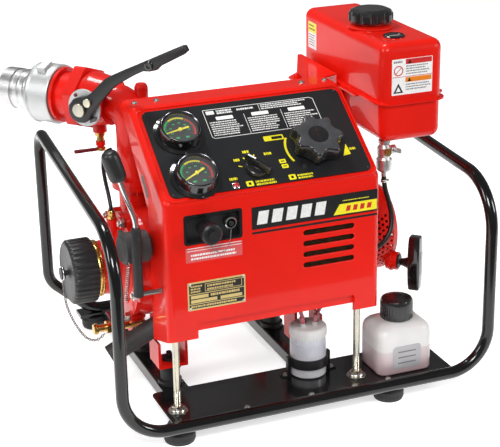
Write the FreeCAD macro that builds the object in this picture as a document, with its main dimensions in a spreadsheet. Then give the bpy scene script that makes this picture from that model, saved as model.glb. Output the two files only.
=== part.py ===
import FreeCAD, Part
import Sketcher
import math
import os
from types import SimpleNamespace
from FreeCAD import Placement, Rotation, Vector

# Portable fire pump, in millimetres. Machine coordinates used below: X to the right from the middle of
# the tubular frame, Y to the back from the front tube, Z up from the floor. The document's origin is on
# the floor under the middle of the whole machine, so every placement adds the datum shift.

DIMENSIONS = {
    "datum_shift_x": 27.6,
    "datum_shift_y": -288.7,
    "tube_diameter": 22.2,
    "frame_half_width": 352.4,
    "rail_half_width_back": 336.4,
    "frame_depth": 555.7,
    "rail_front_height": 394.3,
    "rail_back_height": 435.1,
    "bottom_tube_height": 40.0,
    "plate_top": 42.0,
    "plate_thickness": 2.3,
    "foot_radius": 28.5,
    "foot_height": 24.0,
    "shaft_y": 235.0,
    "shaft_height": 262.0,
    "shaft_radius": 11.95,
    "cover_left": -250.0,
    "cover_right": 152.0,
    "cover_front": 48.6,
    "cover_bottom": 178.5,
    "sheet_thickness": 1.6,
    "panel_angle": 35.2,
    "panel_width": 373.6,
    "panel_length": 189.0,
    "panel_thickness": 2.0,
    "gauge_radius": 36.0,
    "gauge_flange_radius": 45.0,
    "knob_radius": 48.0,
    "tank_width": 123.0,
    "tank_length": 354.0,
    "tank_top": 638.0,
    "tank_seam": 528.0,
    "tank_bottom": 454.5,
    "tank_wall": 1.4,
    "casing_radius": 97.0,
    "suction_cap_radius": 57.0,
    "suction_neck_radius": 36.0,
    "delivery_height": 532.0,
    "delivery_turn": 50.0,
    "delivery_radius": 34.0,
    "coupling_radius": 55.0,
    "ball_radius": 29.0,
    "ball_bore_radius": 20.0,
    "fan_radius": 80.0,
    "starter_radius": 85.0,
    "pulley_radius": 45.0,
    "bottle_width": 108.0,
    "bottle_depth": 90.0,
    "canister_radius": 33.5,
}

UP = Vector(0, 0, 1)
LEFT = Vector(-1, 0, 0)
RIGHT = Vector(1, 0, 0)
FRONT = Vector(0, -1, 0)
PATTERN_CLEARANCE = 0.4

document = FreeCAD.newDocument("PortableFirePump")
sheet = document.addObject("Spreadsheet::Sheet", "Sizes")
nodes = {}


class Size:
    """A number together with the spreadsheet formula that gives it."""

    def __init__(self, value, formula):
        self.value = value
        self.formula = formula

    def __float__(self):
        return float(self.value)

    def __add__(self, other):
        return Size(self.value + number(other), "(%s + %s)" % (self.formula, formula(other)))

    def __radd__(self, other):
        return Size(number(other) + self.value, "(%s + %s)" % (formula(other), self.formula))

    def __sub__(self, other):
        return Size(self.value - number(other), "(%s - %s)" % (self.formula, formula(other)))

    def __rsub__(self, other):
        return Size(number(other) - self.value, "(%s - %s)" % (formula(other), self.formula))

    def __mul__(self, other):
        return Size(self.value * number(other), "(%s * %s)" % (self.formula, formula(other)))

    def __rmul__(self, other):
        return Size(number(other) * self.value, "(%s * %s)" % (formula(other), self.formula))

    def __truediv__(self, other):
        return Size(self.value / number(other), "(%s / %s)" % (self.formula, formula(other)))

    def __neg__(self):
        return Size(-self.value, "(0 - %s)" % self.formula)


def number(value):
    return float(value)


def formula(value):
    return value.formula if isinstance(value, Size) else "(%.6f)" % value


def fill_sheet():
    sizes = {}
    for row, (name, value) in enumerate(DIMENSIONS.items(), start=1):
        sheet.set("A%d" % row, name)
        sheet.set("B%d" % row, str(value))
        sheet.setAlias("B%d" % row, name)
        sizes[name] = Size(value, "Sizes." + name)
    document.recompute()
    return SimpleNamespace(**sizes)


dim = fill_sheet()
PANEL_ANGLE = math.radians(number(dim.panel_angle))
PANEL_START = (55.9, 437.2)
DELIVERY_ANGLE = math.radians(number(dim.delivery_turn))
OUTLET = Vector(-math.cos(DELIVERY_ANGLE), math.sin(DELIVERY_ANGLE), 0)
STEM = Vector(-math.sin(DELIVERY_ANGLE), -math.cos(DELIVERY_ANGLE), 0)
ELBOW = Vector(-212, 322, number(dim.delivery_height))
ROPE = Vector(math.sqrt(0.5), -math.sqrt(0.5), 0)
BALL = 66.0
COCK = 76.0


# Placing things


def set_value(thing, name, value):
    if isinstance(value, Size):
        thing.setExpression(name, value.formula)
        value = value.value
    setattr(thing, name, value)


def facing(axis):
    return Rotation(UP, axis)


def put(thing, x, y, z, rotation=Rotation()):
    """Place a thing's own origin at a point of the machine, with its own Z turned by the rotation."""
    shifted = (x + dim.datum_shift_x, y + dim.datum_shift_y, z)
    thing.Placement = Placement(Vector(*[number(value) for value in shifted]), rotation)
    for letter, value in zip("xyz", shifted):
        if isinstance(value, Size):
            thing.setExpression("Placement.Base." + letter, value.formula)
    return thing


def put_at(thing, point, rotation=Rotation()):
    return put(thing, point.x, point.y, point.z, rotation)


def shifted_point(point):
    return Vector(point[0] + number(dim.datum_shift_x), point[1] + number(dim.datum_shift_y), point[2])


def on_panel(across, up_slope, height=0.0):
    """Point of the sloping panel: distance across from the frame's middle, and up from its lower edge."""
    return Vector(across,
                  PANEL_START[0] + up_slope * math.cos(PANEL_ANGLE) - height * math.sin(PANEL_ANGLE),
                  PANEL_START[1] + up_slope * math.sin(PANEL_ANGLE) + height * math.cos(PANEL_ANGLE))


def panel_rotation():
    return Rotation(Vector(1, 0, 0), math.degrees(PANEL_ANGLE))


def along_outlet(distance, side=0.0, height=0.0):
    """Point on the delivery axis, at a distance from the elbow, to the side along the valve stem."""
    return ELBOW + OUTLET * distance + STEM * side + Vector(0, 0, height)


# Plain solids and booleans


def new(kind, **values):
    thing = document.addObject(kind, "Shape")
    for name, value in values.items():
        set_value(thing, name, value)
    return thing


def block(length, width, height, x, y, z):
    """Box centred on x and y, standing on z."""
    thing = new("Part::Box", Length=length, Width=width, Height=height)
    return put(thing, x - length / 2, y - width / 2, z)


def turned_block(length, width, height, centre, rotation):
    """Box centred on a point and turned about it."""
    thing = new("Part::Box", Length=length, Width=width, Height=height)
    corner = rotation.multVec(Vector(number(length) / 2, number(width) / 2, number(height) / 2))
    return put_at(thing, centre - corner, rotation)


def rod(radius, height, x, y, z, axis=UP):
    thing = new("Part::Cylinder", Radius=radius, Height=height)
    return put(thing, x, y, z, facing(axis))


def bar(radius, start, end):
    axis = end - start
    return rod(radius, axis.Length, start.x, start.y, start.z, axis)


def cone(low_radius, high_radius, height, x, y, z, axis=UP):
    thing = new("Part::Cone", Radius1=low_radius, Radius2=high_radius, Height=height)
    return put(thing, x, y, z, facing(axis))


def fuse(*shapes):
    thing = document.addObject("Part::MultiFuse", "Fuse")
    thing.Shapes = list(shapes)
    return thing


def group(*shapes):
    thing = document.addObject("Part::Compound", "Group")
    thing.Links = list(shapes)
    return thing


def cut(base, *tools):
    thing = document.addObject("Part::Cut", "Cut")
    thing.Base = base
    thing.Tool = tools[0] if len(tools) == 1 else fuse(*tools)
    return thing


def tube(outer, inner, height, x, y, z, axis=UP):
    """Round pipe whose bore runs past both ends of its wall."""
    start = Vector(number(x), number(y), number(z)) - axis * 1.0
    return cut(rod(outer, height, x, y, z, axis),
               rod(inner, height + 2.0, start.x, start.y, start.z, axis))


def rounded(base, radius, wanted):
    """Fillet every edge of a plain solid for which wanted(edge) holds."""
    document.recompute()
    thing = document.addObject("Part::Fillet", "Fillet")
    thing.Base = base
    edges = [(index, radius, radius) for index, edge in enumerate(base.Shape.Edges, start=1)
             if wanted(edge)]
    thing.Edges = edges
    return thing


def node(label, thing):
    thing.Label = label
    nodes[label] = thing
    return thing


# PartDesign bodies


def body(label, x=0, y=0, z=0, rotation=Rotation()):
    thing = document.addObject("PartDesign::Body", label)
    thing.Label = label
    return put(thing, x, y, z, rotation)


def body_at(label, point, rotation=Rotation()):
    return body(label, point.x, point.y, point.z, rotation)


def sketch(owner, role, height=0.0):
    drawing = owner.newObject("Sketcher::SketchObject", "Sketch")
    plane = [part for part in owner.Origin.OriginFeatures if part.Role == role][0]
    drawing.AttachmentSupport = [(plane, "")]
    drawing.MapMode = "FlatFace"
    drawing.AttachmentOffset = Placement(Vector(0, 0, number(height)), Rotation())
    if isinstance(height, Size):
        drawing.setExpression("AttachmentOffset.Base.z", height.formula)
    return drawing


def hold(drawing, constraint, value):
    index = drawing.addConstraint(constraint)
    if isinstance(value, Size):
        drawing.setExpression("Constraints[%d]" % index, value.formula)


def pin_point(drawing, line, end, x, y):
    """Hold one end of a sketch line at x and y from the sketch's origin."""
    for kind, axis, value in (("DistanceX", -2, x), ("DistanceY", -1, y)):
        if number(value) == 0:
            drawing.addConstraint(Sketcher.Constraint("PointOnObject", line, end, axis))
        else:
            hold(drawing, Sketcher.Constraint(kind, -1, 1, line, end, number(value)), value)


def outline(drawing, points):
    """Closed outline of straight lines through the points."""
    corners = [Vector(number(x), number(y), 0) for x, y in points]
    first = drawing.GeometryCount
    count = len(corners)
    for index in range(count):
        drawing.addGeometry(Part.LineSegment(corners[index], corners[(index + 1) % count]), False)
    for index in range(count):
        following = first + (index + 1) % count
        drawing.addConstraint(Sketcher.Constraint("Coincident", first + index, 2, following, 1))
    for index, (x, y) in enumerate(points):
        pin_point(drawing, first + index, 1, x, y)
    return drawing


def rectangle(drawing, width, depth, x=0.0, y=0.0):
    return outline(drawing, [(x - width / 2, y - depth / 2), (x + width / 2, y - depth / 2),
                             (x + width / 2, y + depth / 2), (x - width / 2, y + depth / 2)])


def ring(drawing, radius, x=0.0, y=0.0):
    index = drawing.GeometryCount
    circle = Part.Circle(Vector(number(x), number(y), 0), UP, number(radius))
    drawing.addGeometry(circle, False)
    pin_point(drawing, index, 3, x, y)
    hold(drawing, Sketcher.Constraint("Radius", index, number(radius)), radius)
    return drawing


def feature(owner, kind, profile, **values):
    thing = owner.newObject("PartDesign::" + kind, kind)
    if profile is not None:
        thing.Profile = profile
        profile.Visibility = False
    for name, value in values.items():
        set_value(thing, name, value)
    return thing


def pad(owner, profile, length, **values):
    return feature(owner, "Pad", profile, Length=length, **values)


def pocket(owner, profile, depth, **values):
    return feature(owner, "Pocket", profile, Length=depth, **values)


def revolve(owner, profile):
    return feature(owner, "Revolution", profile, ReferenceAxis=(profile, ["V_Axis"]), Angle=360.0)


def around(owner, source, count):
    """Repeat a feature round the body's own Z axis."""
    thing = owner.newObject("PartDesign::PolarPattern", "PolarPattern")
    thing.Originals = [source]
    axis = [part for part in owner.Origin.OriginFeatures if part.Role == "Z_Axis"][0]
    thing.Axis = (axis, [""])
    thing.Angle = 360.0
    thing.Occurrences = count
    owner.Tip = thing
    return thing


def soften(owner, radius, wanted):
    """Fillet the edges of a body's last feature for which wanted(edge) holds."""
    document.recompute()
    base = owner.Tip
    names = ["Edge%d" % index for index, edge in enumerate(base.Shape.Edges, start=1) if wanted(edge)]
    thing = owner.newObject("PartDesign::Fillet", "Fillet")
    thing.Base = (base, names)
    set_value(thing, "Radius", radius)
    return thing


def turned(label, profile, x=0, y=0, z=0, rotation=Rotation()):
    """Body turned about its own Z axis from an outline of radius and height."""
    owner = body(label, x, y, z, rotation)
    revolve(owner, outline(sketch(owner, "XZ_Plane"), profile))
    return owner


def turned_at(label, profile, point, axis):
    return turned(label, profile, point.x, point.y, point.z, facing(axis))


# Ways to pick edges


def is_straight(edge):
    return isinstance(edge.Curve, (Part.Line, Part.LineSegment))


def runs_along(edge, axis):
    if not is_straight(edge):
        return False
    return abs(abs(edge.tangentAt(edge.FirstParameter).dot(axis)) - 1) < 1e-6


def all_at(edge, letter, value):
    return all(abs(getattr(vertex, letter) - value) < 1e-3 for vertex in edge.Vertexes)


# Bent tubes


def bend_points(points, radii, closed=False):
    """Edges of straight runs joined by tangent arcs; one radius for each inner corner."""
    corners = [Vector(*point) for point in points]
    edges = []
    start = corners[0]
    for index, radius in enumerate(radii, start=1):
        corner = corners[index]
        after = corners[(index + 1) % len(corners)]
        incoming = (corner - corners[index - 1]).normalize()
        outgoing = (after - corner).normalize()
        half_turn = incoming.getAngle(outgoing) / 2
        reach = radius * math.tan(half_turn)
        begin = corner - incoming * reach
        finish = corner + outgoing * reach
        inward = (outgoing - incoming).normalize()
        middle = corner + inward * (radius / math.cos(half_turn) - radius)
        edges.append(Part.LineSegment(start, begin).toShape())
        edges.append(Part.Arc(begin, middle, finish).toShape())
        start = finish
    last = corners[0] if closed else corners[-1]
    edges.append(Part.LineSegment(start, last).toShape())
    return edges


def free_radii(points):
    """Largest tangent radii that a loose route's runs allow."""
    corners = [Vector(*point) for point in points]
    radii = []
    for before, corner, after in zip(corners, corners[1:], corners[2:]):
        shorter = min((corner - before).Length, (after - corner).Length)
        half_turn = (corner - before).getAngle(after - corner) / 2
        radii.append(0.45 * shorter / math.tan(half_turn))
    return radii


def pipe(radius, points, radii, closed=False):
    """Round bar swept along straight runs and arcs."""
    points = [shifted_point(point) for point in points]
    edges = bend_points(points, radii, closed)
    spine = document.addObject("Part::Feature", "Spine")
    spine.Shape = Part.Wire(edges)
    section = new("Part::Circle", Radius=radius)
    section.Placement = Placement(points[0], facing(points[1] - points[0]))
    sweep = document.addObject("Part::Sweep", "Sweep")
    sweep.Sections = [section]
    sweep.Spine = (spine, ["Edge%d" % (index + 1) for index in range(len(edges))])
    sweep.Solid = True
    sweep.Frenet = False
    document.recompute()
    length = sum(edge.Length for edge in edges)
    expected = math.pi * number(radius) ** 2 * length
    if abs(sweep.Shape.Volume - expected) > 0.02 * expected:
        raise RuntimeError("a swept tube has the wrong volume: %.0f, not %.0f" % (sweep.Shape.Volume,
                                                                                  expected))
    return sweep


def cord(label, radius, points):
    radii = free_radii(points)
    print(label, "bend radii", [round(value, 1) for value in radii])
    return node(label, pipe(radius, points, radii))


# Carrying frame and base


def make_frame():
    half = number(dim.frame_half_width)
    back_half = number(dim.rail_half_width_back)
    depth = number(dim.frame_depth)
    low = number(dim.bottom_tube_height)
    front_high = number(dim.rail_front_height)
    back_high = number(dim.rail_back_height)
    points = [(0, 0, low), (half, 0, low), (half, 0, front_high), (back_half, depth, back_high),
              (back_half, depth, 116), (250, depth, low), (-250, depth, low), (-back_half, depth, 116),
              (-back_half, depth, back_high), (-half, 0, front_high), (-half, 0, low)]
    radii = [78, 95, 38, 48, 60, 60, 48, 38, 95, 78]
    loop = pipe(dim.tube_diameter / 2, points, radii, closed=True)
    saddles = [block(70, 36, 8, x, 563.2, 24.2) for x in FOOT_SPOTS_X]
    node("frame_tube", fuse(loop, *saddles))


FOOT_SPOTS_X = (-243, 165)
FOOT_SPOTS_Y = (32, 560)


def make_base_plate():
    plate = body("base_plate", 0, 0, dim.plate_top - dim.plate_thickness)
    pad(plate, rectangle(sketch(plate, "XY_Plane"), 548.5, 128.6, 14.75, 75.5), dim.plate_thickness)
    back_lip = outline(sketch(plate, "YZ_Plane", -200.0), [(137.5, -14), (139.8, -14), (139.8, 0.4),
                                                           (137.5, 0.4)])
    pad(plate, back_lip, 230.0)
    corners = sketch(plate, "XY_Plane")
    for x in (4.8, 90.5, 157.9, -120.0):
        ring(corners, 3.2, x, 19.0)
    pocket(plate, corners, dim.plate_thickness + 1, Reversed=True)
    soften(plate, 12.0, lambda edge: runs_along(edge,
                                                UP) and edge.Length < 3 and abs(edge.Vertexes[0].X) > 200
           and edge.Vertexes[0].Y > 100)
    node("base_plate", plate)


def make_rails():
    rails = []
    for x in (-212.0, 55.0):
        channel = body("rail", x, 140.2, 0)
        walls = [(-23, 19), (-20.5, 19), (-20.5, 38.7), (20.5, 38.7), (20.5, 19), (23, 19), (23, 41.5),
                 (-23, 41.5)]
        pad(channel, outline(sketch(channel, "XZ_Plane"), walls), 404.2, Reversed=True)
        soften(channel, 3.0, lambda edge: runs_along(edge, Vector(0, 1, 0)) and all_at(edge, "Z", 41.5))
        rails.append(cut(channel, block(60, 40, 14, x, 535, 12)))
    node("engine_rails", group(*rails))


def make_feet():
    feet = []
    for x in FOOT_SPOTS_X:
        for y in FOOT_SPOTS_Y:
            top = 39.6 if y < 100 else 24.1
            sole = cone(dim.foot_radius - 2, dim.foot_radius, 6, x, y, 0)
            side = rod(dim.foot_radius, dim.foot_height - 12, x, y, 6)
            cap_top = cone(dim.foot_radius, 16, top - 18, x, y, 18) if y < 100 else \
                cone(dim.foot_radius, dim.foot_radius - 4, top - 18, x, y, 18)
            feet.append(fuse(sole, side, cap_top))
    node("rubber_feet", group(*feet))


MOUNT_SPOTS = ((-212, 172), (-212, 330), (55, 172), (55, 330))


def make_mounts():
    mounts = []
    brackets = []
    for x, y in MOUNT_SPOTS:
        mounts.append(fuse(rod(22, 8, x, y, 41.6), rod(17, 26, x, y, 49), rod(22, 8, x, y, 74)))
        base = block(56, 52, 5, x, y, 82.1)
        inner_x = x + 25.5 if x < 0 else x - 25.5
        outer_x = x - 25.5 if x < 0 else x + 25.5
        tall = block(5, 52, 81.8, inner_x, y, 82.1)
        short = block(5, 52, 52, outer_x, y, 82.1)
        bolt = fuse(rod(12, 6, x, y, 87.2), rod(5, 16, x, y, 87.2))
        mounts.append(bolt)
        brackets.append(rounded(fuse(base, tall, short), 2.0, lambda edge: runs_along(edge,
                                                                                      Vector(0, 1, 0))))
    node("rubber_mounts", group(*mounts))
    node("engine_feet", group(*brackets))


STAY_SPOTS_X = (-236.0, 111.4)
STAY_Y = 58.0


def make_stays():
    stays = []
    for x in STAY_SPOTS_X:
        stays.append(fuse(rod(6, 138, x, STAY_Y, 42.1), rod(13.5, 3, x, STAY_Y, 42.1),
                          put(new("Part::Prism", Polygon=6, Circumradius=10.5, Height=8), x, STAY_Y, 45)))
    node("cover_stays", group(*stays))


# Control cover and panel


def cover_block(inset):
    """Solid with the cover's outer faces moved inwards by the inset."""
    left = dim.cover_left + inset
    right = dim.cover_right - inset
    slope = math.tan(PANEL_ANGLE)
    front = number(dim.cover_front) + inset
    top = 554.4 - inset
    lowered = inset / math.cos(PANEL_ANGLE)
    ridge = 437.2 + (front - PANEL_START[0]) * slope - lowered
    shelf_start = 222 + (lowered - inset) / slope
    if inset:
        profile = [(front, 130), (front, ridge), (shelf_start, top), (300, top), (300, 130)]
    else:
        profile = [(front, 178.5), (front, ridge), (shelf_start, top), (276, top), (276, 544), (137, 395),
                   (137, 150)]
    solid = body("cover_block", left, 0, 0)
    width = right - left
    pad(solid, outline(sketch(solid, "YZ_Plane"), profile), width)
    soften(solid, 18.0 - inset, lambda edge: runs_along(edge, RIGHT) and all_at(edge, "Y", front)
           and edge.Vertexes[0].Z > 300)
    soften(solid, 14.0 - inset, lambda edge: runs_along(edge, RIGHT) and all_at(edge, "Y", shelf_start))
    side_radius = 13.0 - inset

    def is_outer_side(edge):
        ends_at_side = all_at(edge, "X", 0) or all_at(edge, "X", number(width))
        if not ends_at_side:
            return False
        middle = edge.valueAt((edge.FirstParameter + edge.LastParameter) / 2)
        on_front = abs(middle.y - front) < 1e-3
        on_slope = abs(middle.z - (437.2 + (middle.y - PANEL_START[0]) * slope - lowered)) < 1e-3
        on_top = abs(middle.z - top) < 1e-3
        is_corner = not is_straight(edge)
        return on_front or on_slope or on_top or is_corner

    soften(solid, side_radius, is_outer_side)
    return solid


def make_cover():
    wall = number(dim.sheet_thickness)
    outer = cover_block(0.0)
    inner = cover_block(wall)
    step = 8.0
    recess = block(299, step * 2, 40, -46.5, dim.cover_front, 168)
    inner_recess = block(299 + 2 * wall, step * 2 + 2 * wall, 40 + wall, -46.5, dim.cover_front, 168)
    shell = cut(cut(outer, rounded(recess, 4.0, lambda edge: runs_along(edge, Vector(0, 1, 0)))),
                cut(inner, inner_recess))
    trims = [block(299, 40, 30, -46.5, 60, 160)]
    slots = []
    for row in range(4):
        height = 282.0 + 20.2 * row
        slots.append(block(88, 20, 10, 52, 48, height - 5))
        for x in (8, 96):
            slots.append(rod(5, 20, x, 58, height, FRONT))
    socket_window = block(96, 20, 46, -164, 48, 357.5)
    panel_window = turned_block(344, 166, 20, on_panel(-47.5, 94.5), panel_rotation())
    badge_dent = block(240, 0.8, 42, 26.5, dim.cover_front, 362.5)
    hose_hole = rod(9, 12, 145, 119.5, 256.3, RIGHT)
    node("control_cover", cut(shell, *trims, *slots, socket_window, panel_window, badge_dent, hose_hole))


PANEL_CENTRE = (-47.5, 94.5)
PRESSURE_GAUGE = (-181.0, 131.0)
SUCTION_GAUGE = (-180.0, 36.0)
SELECTOR = (-69.0, 37.0)
THROTTLE = (50.0, 66.0)
LAMP = (-116.0, 8.0)


def make_panel():
    plate = body_at("control_panel", on_panel(PANEL_CENTRE[0], PANEL_CENTRE[1], 0.05), panel_rotation())
    face = rectangle(sketch(plate, "XY_Plane"), dim.panel_width, dim.panel_length)
    pad(plate, face, dim.panel_thickness)
    holes = sketch(plate, "XY_Plane")
    for (x, up_slope), radius in ((PRESSURE_GAUGE, 24.0), (SUCTION_GAUGE, 24.0), (SELECTOR, 7.0),
                                  (THROTTLE, 9.0), (LAMP, 4.0)):
        ring(holes, radius, x - PANEL_CENTRE[0], up_slope - PANEL_CENTRE[1])
    pocket(plate, holes, dim.panel_thickness + 1, Reversed=True)
    soften(plate, 13.0, lambda edge: runs_along(edge, UP) and abs(edge.Vertexes[0].X) > 180)
    node("control_panel", plate)


def make_gauge(case_label, needle_label, spot, needle_turn):
    radius = dim.gauge_radius
    surface = on_panel(spot[0], spot[1], 2.1)
    case = turned(case_label, [(0, -42), (22, -42), (22, 0), (dim.gauge_flange_radius, 0),
                               (dim.gauge_flange_radius, 2.5), (radius + 3, 5), (radius + 1, 20),
                               (radius, 24),
                               (radius - 3, 24), (radius - 4.4, 20), (radius - 4.4, 12), (0, 12)],
                  surface.x, surface.y, surface.z, panel_rotation())
    node(case_label, case)
    turned_needle = panel_rotation() * Rotation(UP, needle_turn)
    needle = body_at(needle_label, on_panel(spot[0], spot[1], 2.1), turned_needle)
    pointer = outline(sketch(needle, "XY_Plane", 14.0), [(-1.9, -17), (1.9, -17), (1.6, 4), (0.8, 27),
                                                         (-0.8, 27), (-1.6, 4)])
    pad(needle, pointer, 0.8)
    pad(needle, ring(sketch(needle, "XY_Plane", 12.4), 3.2), 3.6)
    node(needle_label, needle)
    lens = on_panel(spot[0], spot[1], 2.1 + 17.8)
    return put_at(new("Part::Cylinder", Radius=radius - 4.6, Height=1.6), lens, panel_rotation())


def make_knobs():
    base = on_panel(SELECTOR[0], SELECTOR[1], 2.05)
    selector = turned("selector_knob", [(0, -18), (5, -18), (5, 1), (20, 1), (20, 4), (16, 7), (0, 7)],
                      base.x, base.y, base.z, panel_rotation() * Rotation(UP, 45))
    grip = rectangle(sketch(selector, "XY_Plane", 6.5), 11.0, 50.0)
    pad(selector, grip, 17.5)
    soften(selector, 2.0, lambda edge: runs_along(edge, Vector(0, 1, 0)) and all_at(edge, "Z", 24.0))
    node("selector_knob", selector)

    base = on_panel(THROTTLE[0], THROTTLE[1], 2.05)
    rim = dim.knob_radius
    throttle = turned("throttle_knob", [(0, -18), (6, -18), (6, 2), (24, 2), (30, 9), (rim - 3, 12),
                                        (rim, 18), (rim, 28), (rim - 5, 35), (19, 37), (16, 33), (0, 33)],
                      base.x, base.y, base.z, panel_rotation())
    scallop = pocket(throttle, ring(sketch(throttle, "XY_Plane", 8.0), 18.0, rim + 10, 0.0), 40.0,
                     Reversed=True)
    around(throttle, scallop, 7)
    node("throttle_knob", throttle)


def make_front_sockets():
    plate = block(103, 4, 52, -163.6, 60.0, 354.5)
    frame_edge = cut(block(103, 8, 52, -163.6, 54.2, 354.5), block(95, 10, 44, -163.6, 54.2, 358.5))
    large = tube(14, 10, 26, -176.5, 58.5, 379, FRONT)
    small = tube(10, 7.5, 14, -133, 58.5, 384.8, FRONT)
    frame_edge.Label = "socket rim"
    node("socket_plate", fuse(plate, cut(frame_edge, block(120, 10, 60, -163.6, 47.0, 350)), large, small))
    cap = turned("socket_cap", [(0, 0), (9.6, 0), (9.6, 12), (16, 12), (18.5, 14), (18.5, 26), (15, 29),
                                (8, 29), (8, 33), (0, 33)],
                 -176.5, 43.8, 379, facing(FRONT))
    notch = pocket(cap, ring(sketch(cap, "XY_Plane", 14.0), 1.6, 18.9, 0.0), 12.0, Reversed=True)
    around(cap, notch, 16)
    node("socket_cap", cap)


def make_fasteners():
    """Pan-head screws on the cover's shelf and the base plate, and hex bolts on the pump flange."""
    screws = []
    for x, y in ((-191.5, 248), (-232, 248), (134, 248), (88, 248)):
        screws.append(cone(6, 4, 3, x, y, 554.5))
    for x in (4.8, 90.5, 157.9, -120.0):
        screws.append(fuse(cone(6, 4.5, 3, x, 19, 42.05), rod(3, 2.6, x, 19, 39.8)))
    for angle in PUMP_BOLT_ANGLES:
        y, z = pump_bolt_spot(angle)
        screws.append(fuse(put(new("Part::Prism", Polygon=6, Circumradius=9, Height=7), -276.2, y, z,
                               facing(LEFT)),
                           rod(5, 11, -276.2, y, z, LEFT)))
    node("screws_and_bolts", group(*screws))


PUMP_BOLT_ANGLES = (110, 250, 50, 310, 0, 195)
PUMP_BOLT_RADIUS = 96.0


def pump_bolt_spot(angle):
    turn = math.radians(angle)
    return (number(dim.shaft_y) + PUMP_BOLT_RADIUS * math.cos(turn),
            number(dim.shaft_height) + PUMP_BOLT_RADIUS * math.sin(turn))


# Fuel tank


TANK_X = 256.5
TANK_FRONT = 132.0


def tank_half(label, inset, low, high, round_low):
    """Half shell block with rounded corners, rounded below or above."""
    solid = body(label, TANK_X, TANK_FRONT + dim.tank_length / 2, low)
    wide = dim.tank_width - 2 * inset
    deep = dim.tank_length - 2 * inset
    pad(solid, rectangle(sketch(solid, "XY_Plane"), wide, deep), high - low)
    soften(solid, 19.0 - inset, lambda edge: runs_along(edge, UP))
    level = 0.0 if round_low else number(high) - number(low)
    soften(solid, 17.5 - inset, lambda edge: all_at(edge, "Z", level))
    return solid


def seam_flange(low, height):
    flange = body("seam", TANK_X, TANK_FRONT + dim.tank_length / 2, low)
    pad(flange, rectangle(sketch(flange, "XY_Plane"), dim.tank_width + 16, dim.tank_length + 16), height)
    soften(flange, 27.0, lambda edge: runs_along(edge, UP))
    return flange


FILLER = (242.0, 279.0)


def make_tank():
    wall = dim.tank_wall
    seam = dim.tank_seam
    outer = tank_half("upper_outer", 0.0, seam, dim.tank_top, False)
    inner = tank_half("upper_inner", wall, seam - 3, dim.tank_top - wall, False)
    neck = rod(24, 14, FILLER[0], FILLER[1], dim.tank_top - 4)
    throat = rod(22, 60, FILLER[0], FILLER[1], dim.tank_top - 30)
    lugs = [rod(12, 1.4, TANK_X + 72, y, seam) for y in (180, 420)]
    upper = fuse(outer, neck, seam_flange(seam, 1.4), *lugs)
    holes = [rod(4, 6, TANK_X + 75, y, seam - 2) for y in (180, 420)]
    node("tank_upper_shell", cut(upper, inner, throat, *holes))

    outer = tank_half("lower_outer", 1.0, dim.tank_bottom, seam - 0.02, True)
    inner = tank_half("lower_inner", 1.0 + wall, dim.tank_bottom + wall, seam + 3, True)
    flange = seam_flange(seam - 1.42, 1.4)
    lugs = [rod(12, 1.4, TANK_X + 72, y, seam - 1.42) for y in (180, 420)]
    holes = [rod(4, 6, TANK_X + 75, y, seam - 4) for y in (180, 420)]
    node("tank_lower_shell", cut(fuse(outer, flange, *lugs), inner, *holes))

    node("tank_bracket", tank_bracket())

    cap = turned("fuel_cap", [(0, -14), (20, -14), (20, 0.2), (39, 0.2), (42, 3), (42, 14), (38, 20),
                              (30, 23.5), (0, 23.5)], FILLER[0], FILLER[1], dim.tank_top + 10.5)
    scallop = pocket(cap, ring(sketch(cap, "XY_Plane", 0.0), 10.0, 48.5, 0.0), 26.0, Reversed=True)
    around(cap, scallop, 10)
    node("fuel_cap", cap)


def tank_bracket():
    """Bent plate that carries the tank by its left flange, tied to the cover and the crankcase."""
    web = block(2.5, 170, 107, 183.0, 385, 440.5)
    shelf = block(13, 250, 2.4, 188.2, 345, 524.1)
    cradle = block(118, 44, 2.5, 241, 400, 451.7)
    tie = body("tank_tie", 0, 0, 545)
    edge = [(92, 256), (140, 256), (150, 290), (184.2, 304), (184.2, 470), (176, 470), (120, 345),
            (92, 320)]
    pad(tie, outline(sketch(tie, "XY_Plane"), edge), 2.5)
    strut = body("tank_strut", 0, 334, 0)
    edge = [(52, 268), (104, 268), (184.2, 430), (184.2, 470), (150, 470), (52, 330)]
    pad(strut, outline(sketch(strut, "XZ_Plane"), edge), 3.0)
    foot = block(50, 27, 5, 78, 318.7, 270)
    bolt = fuse(put(new("Part::Prism", Polygon=6, Circumradius=8, Height=6), 104, 304, 547.4),
                rod(4, 9, 104, 304, 547.4))
    return fuse(web, shelf, cradle, tie, strut, foot, bolt)


PETCOCK = (213.0, 158.0)


def make_petcock():
    x, y = PETCOCK
    valve = turned("petcock", [(0, 394), (9, 394), (14.5, 399), (14.5, 418), (12, 422), (13, 427),
                               (13, 440), (9, 446), (9, 449), (11, 449), (11, 454.3), (0, 454.3)], x, y, 0)
    node("petcock", fuse(valve, rod(5, 9.5, x, y, 394.2, -UP), rod(8, 15, x, y, 434, RIGHT)))
    hub = rod(8.5, 6, x + 15.4, y, 434, RIGHT)
    blade = turned_block(4.0, 30.0, 8.0, Vector(x + 18.4, y - 14, 436), Rotation(Vector(1, 0, 0), -8))
    node("petcock_lever", fuse(hub, blade))


FUEL_ROUTE = [(213, 158, 383.9), (214, 156, 362), (219, 148, 338), (222, 140, 312), (216, 131, 286),
              (198, 125, 266), (174, 121, 257), (150, 119, 256), (129, 119, 258)]


# Engine


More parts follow.
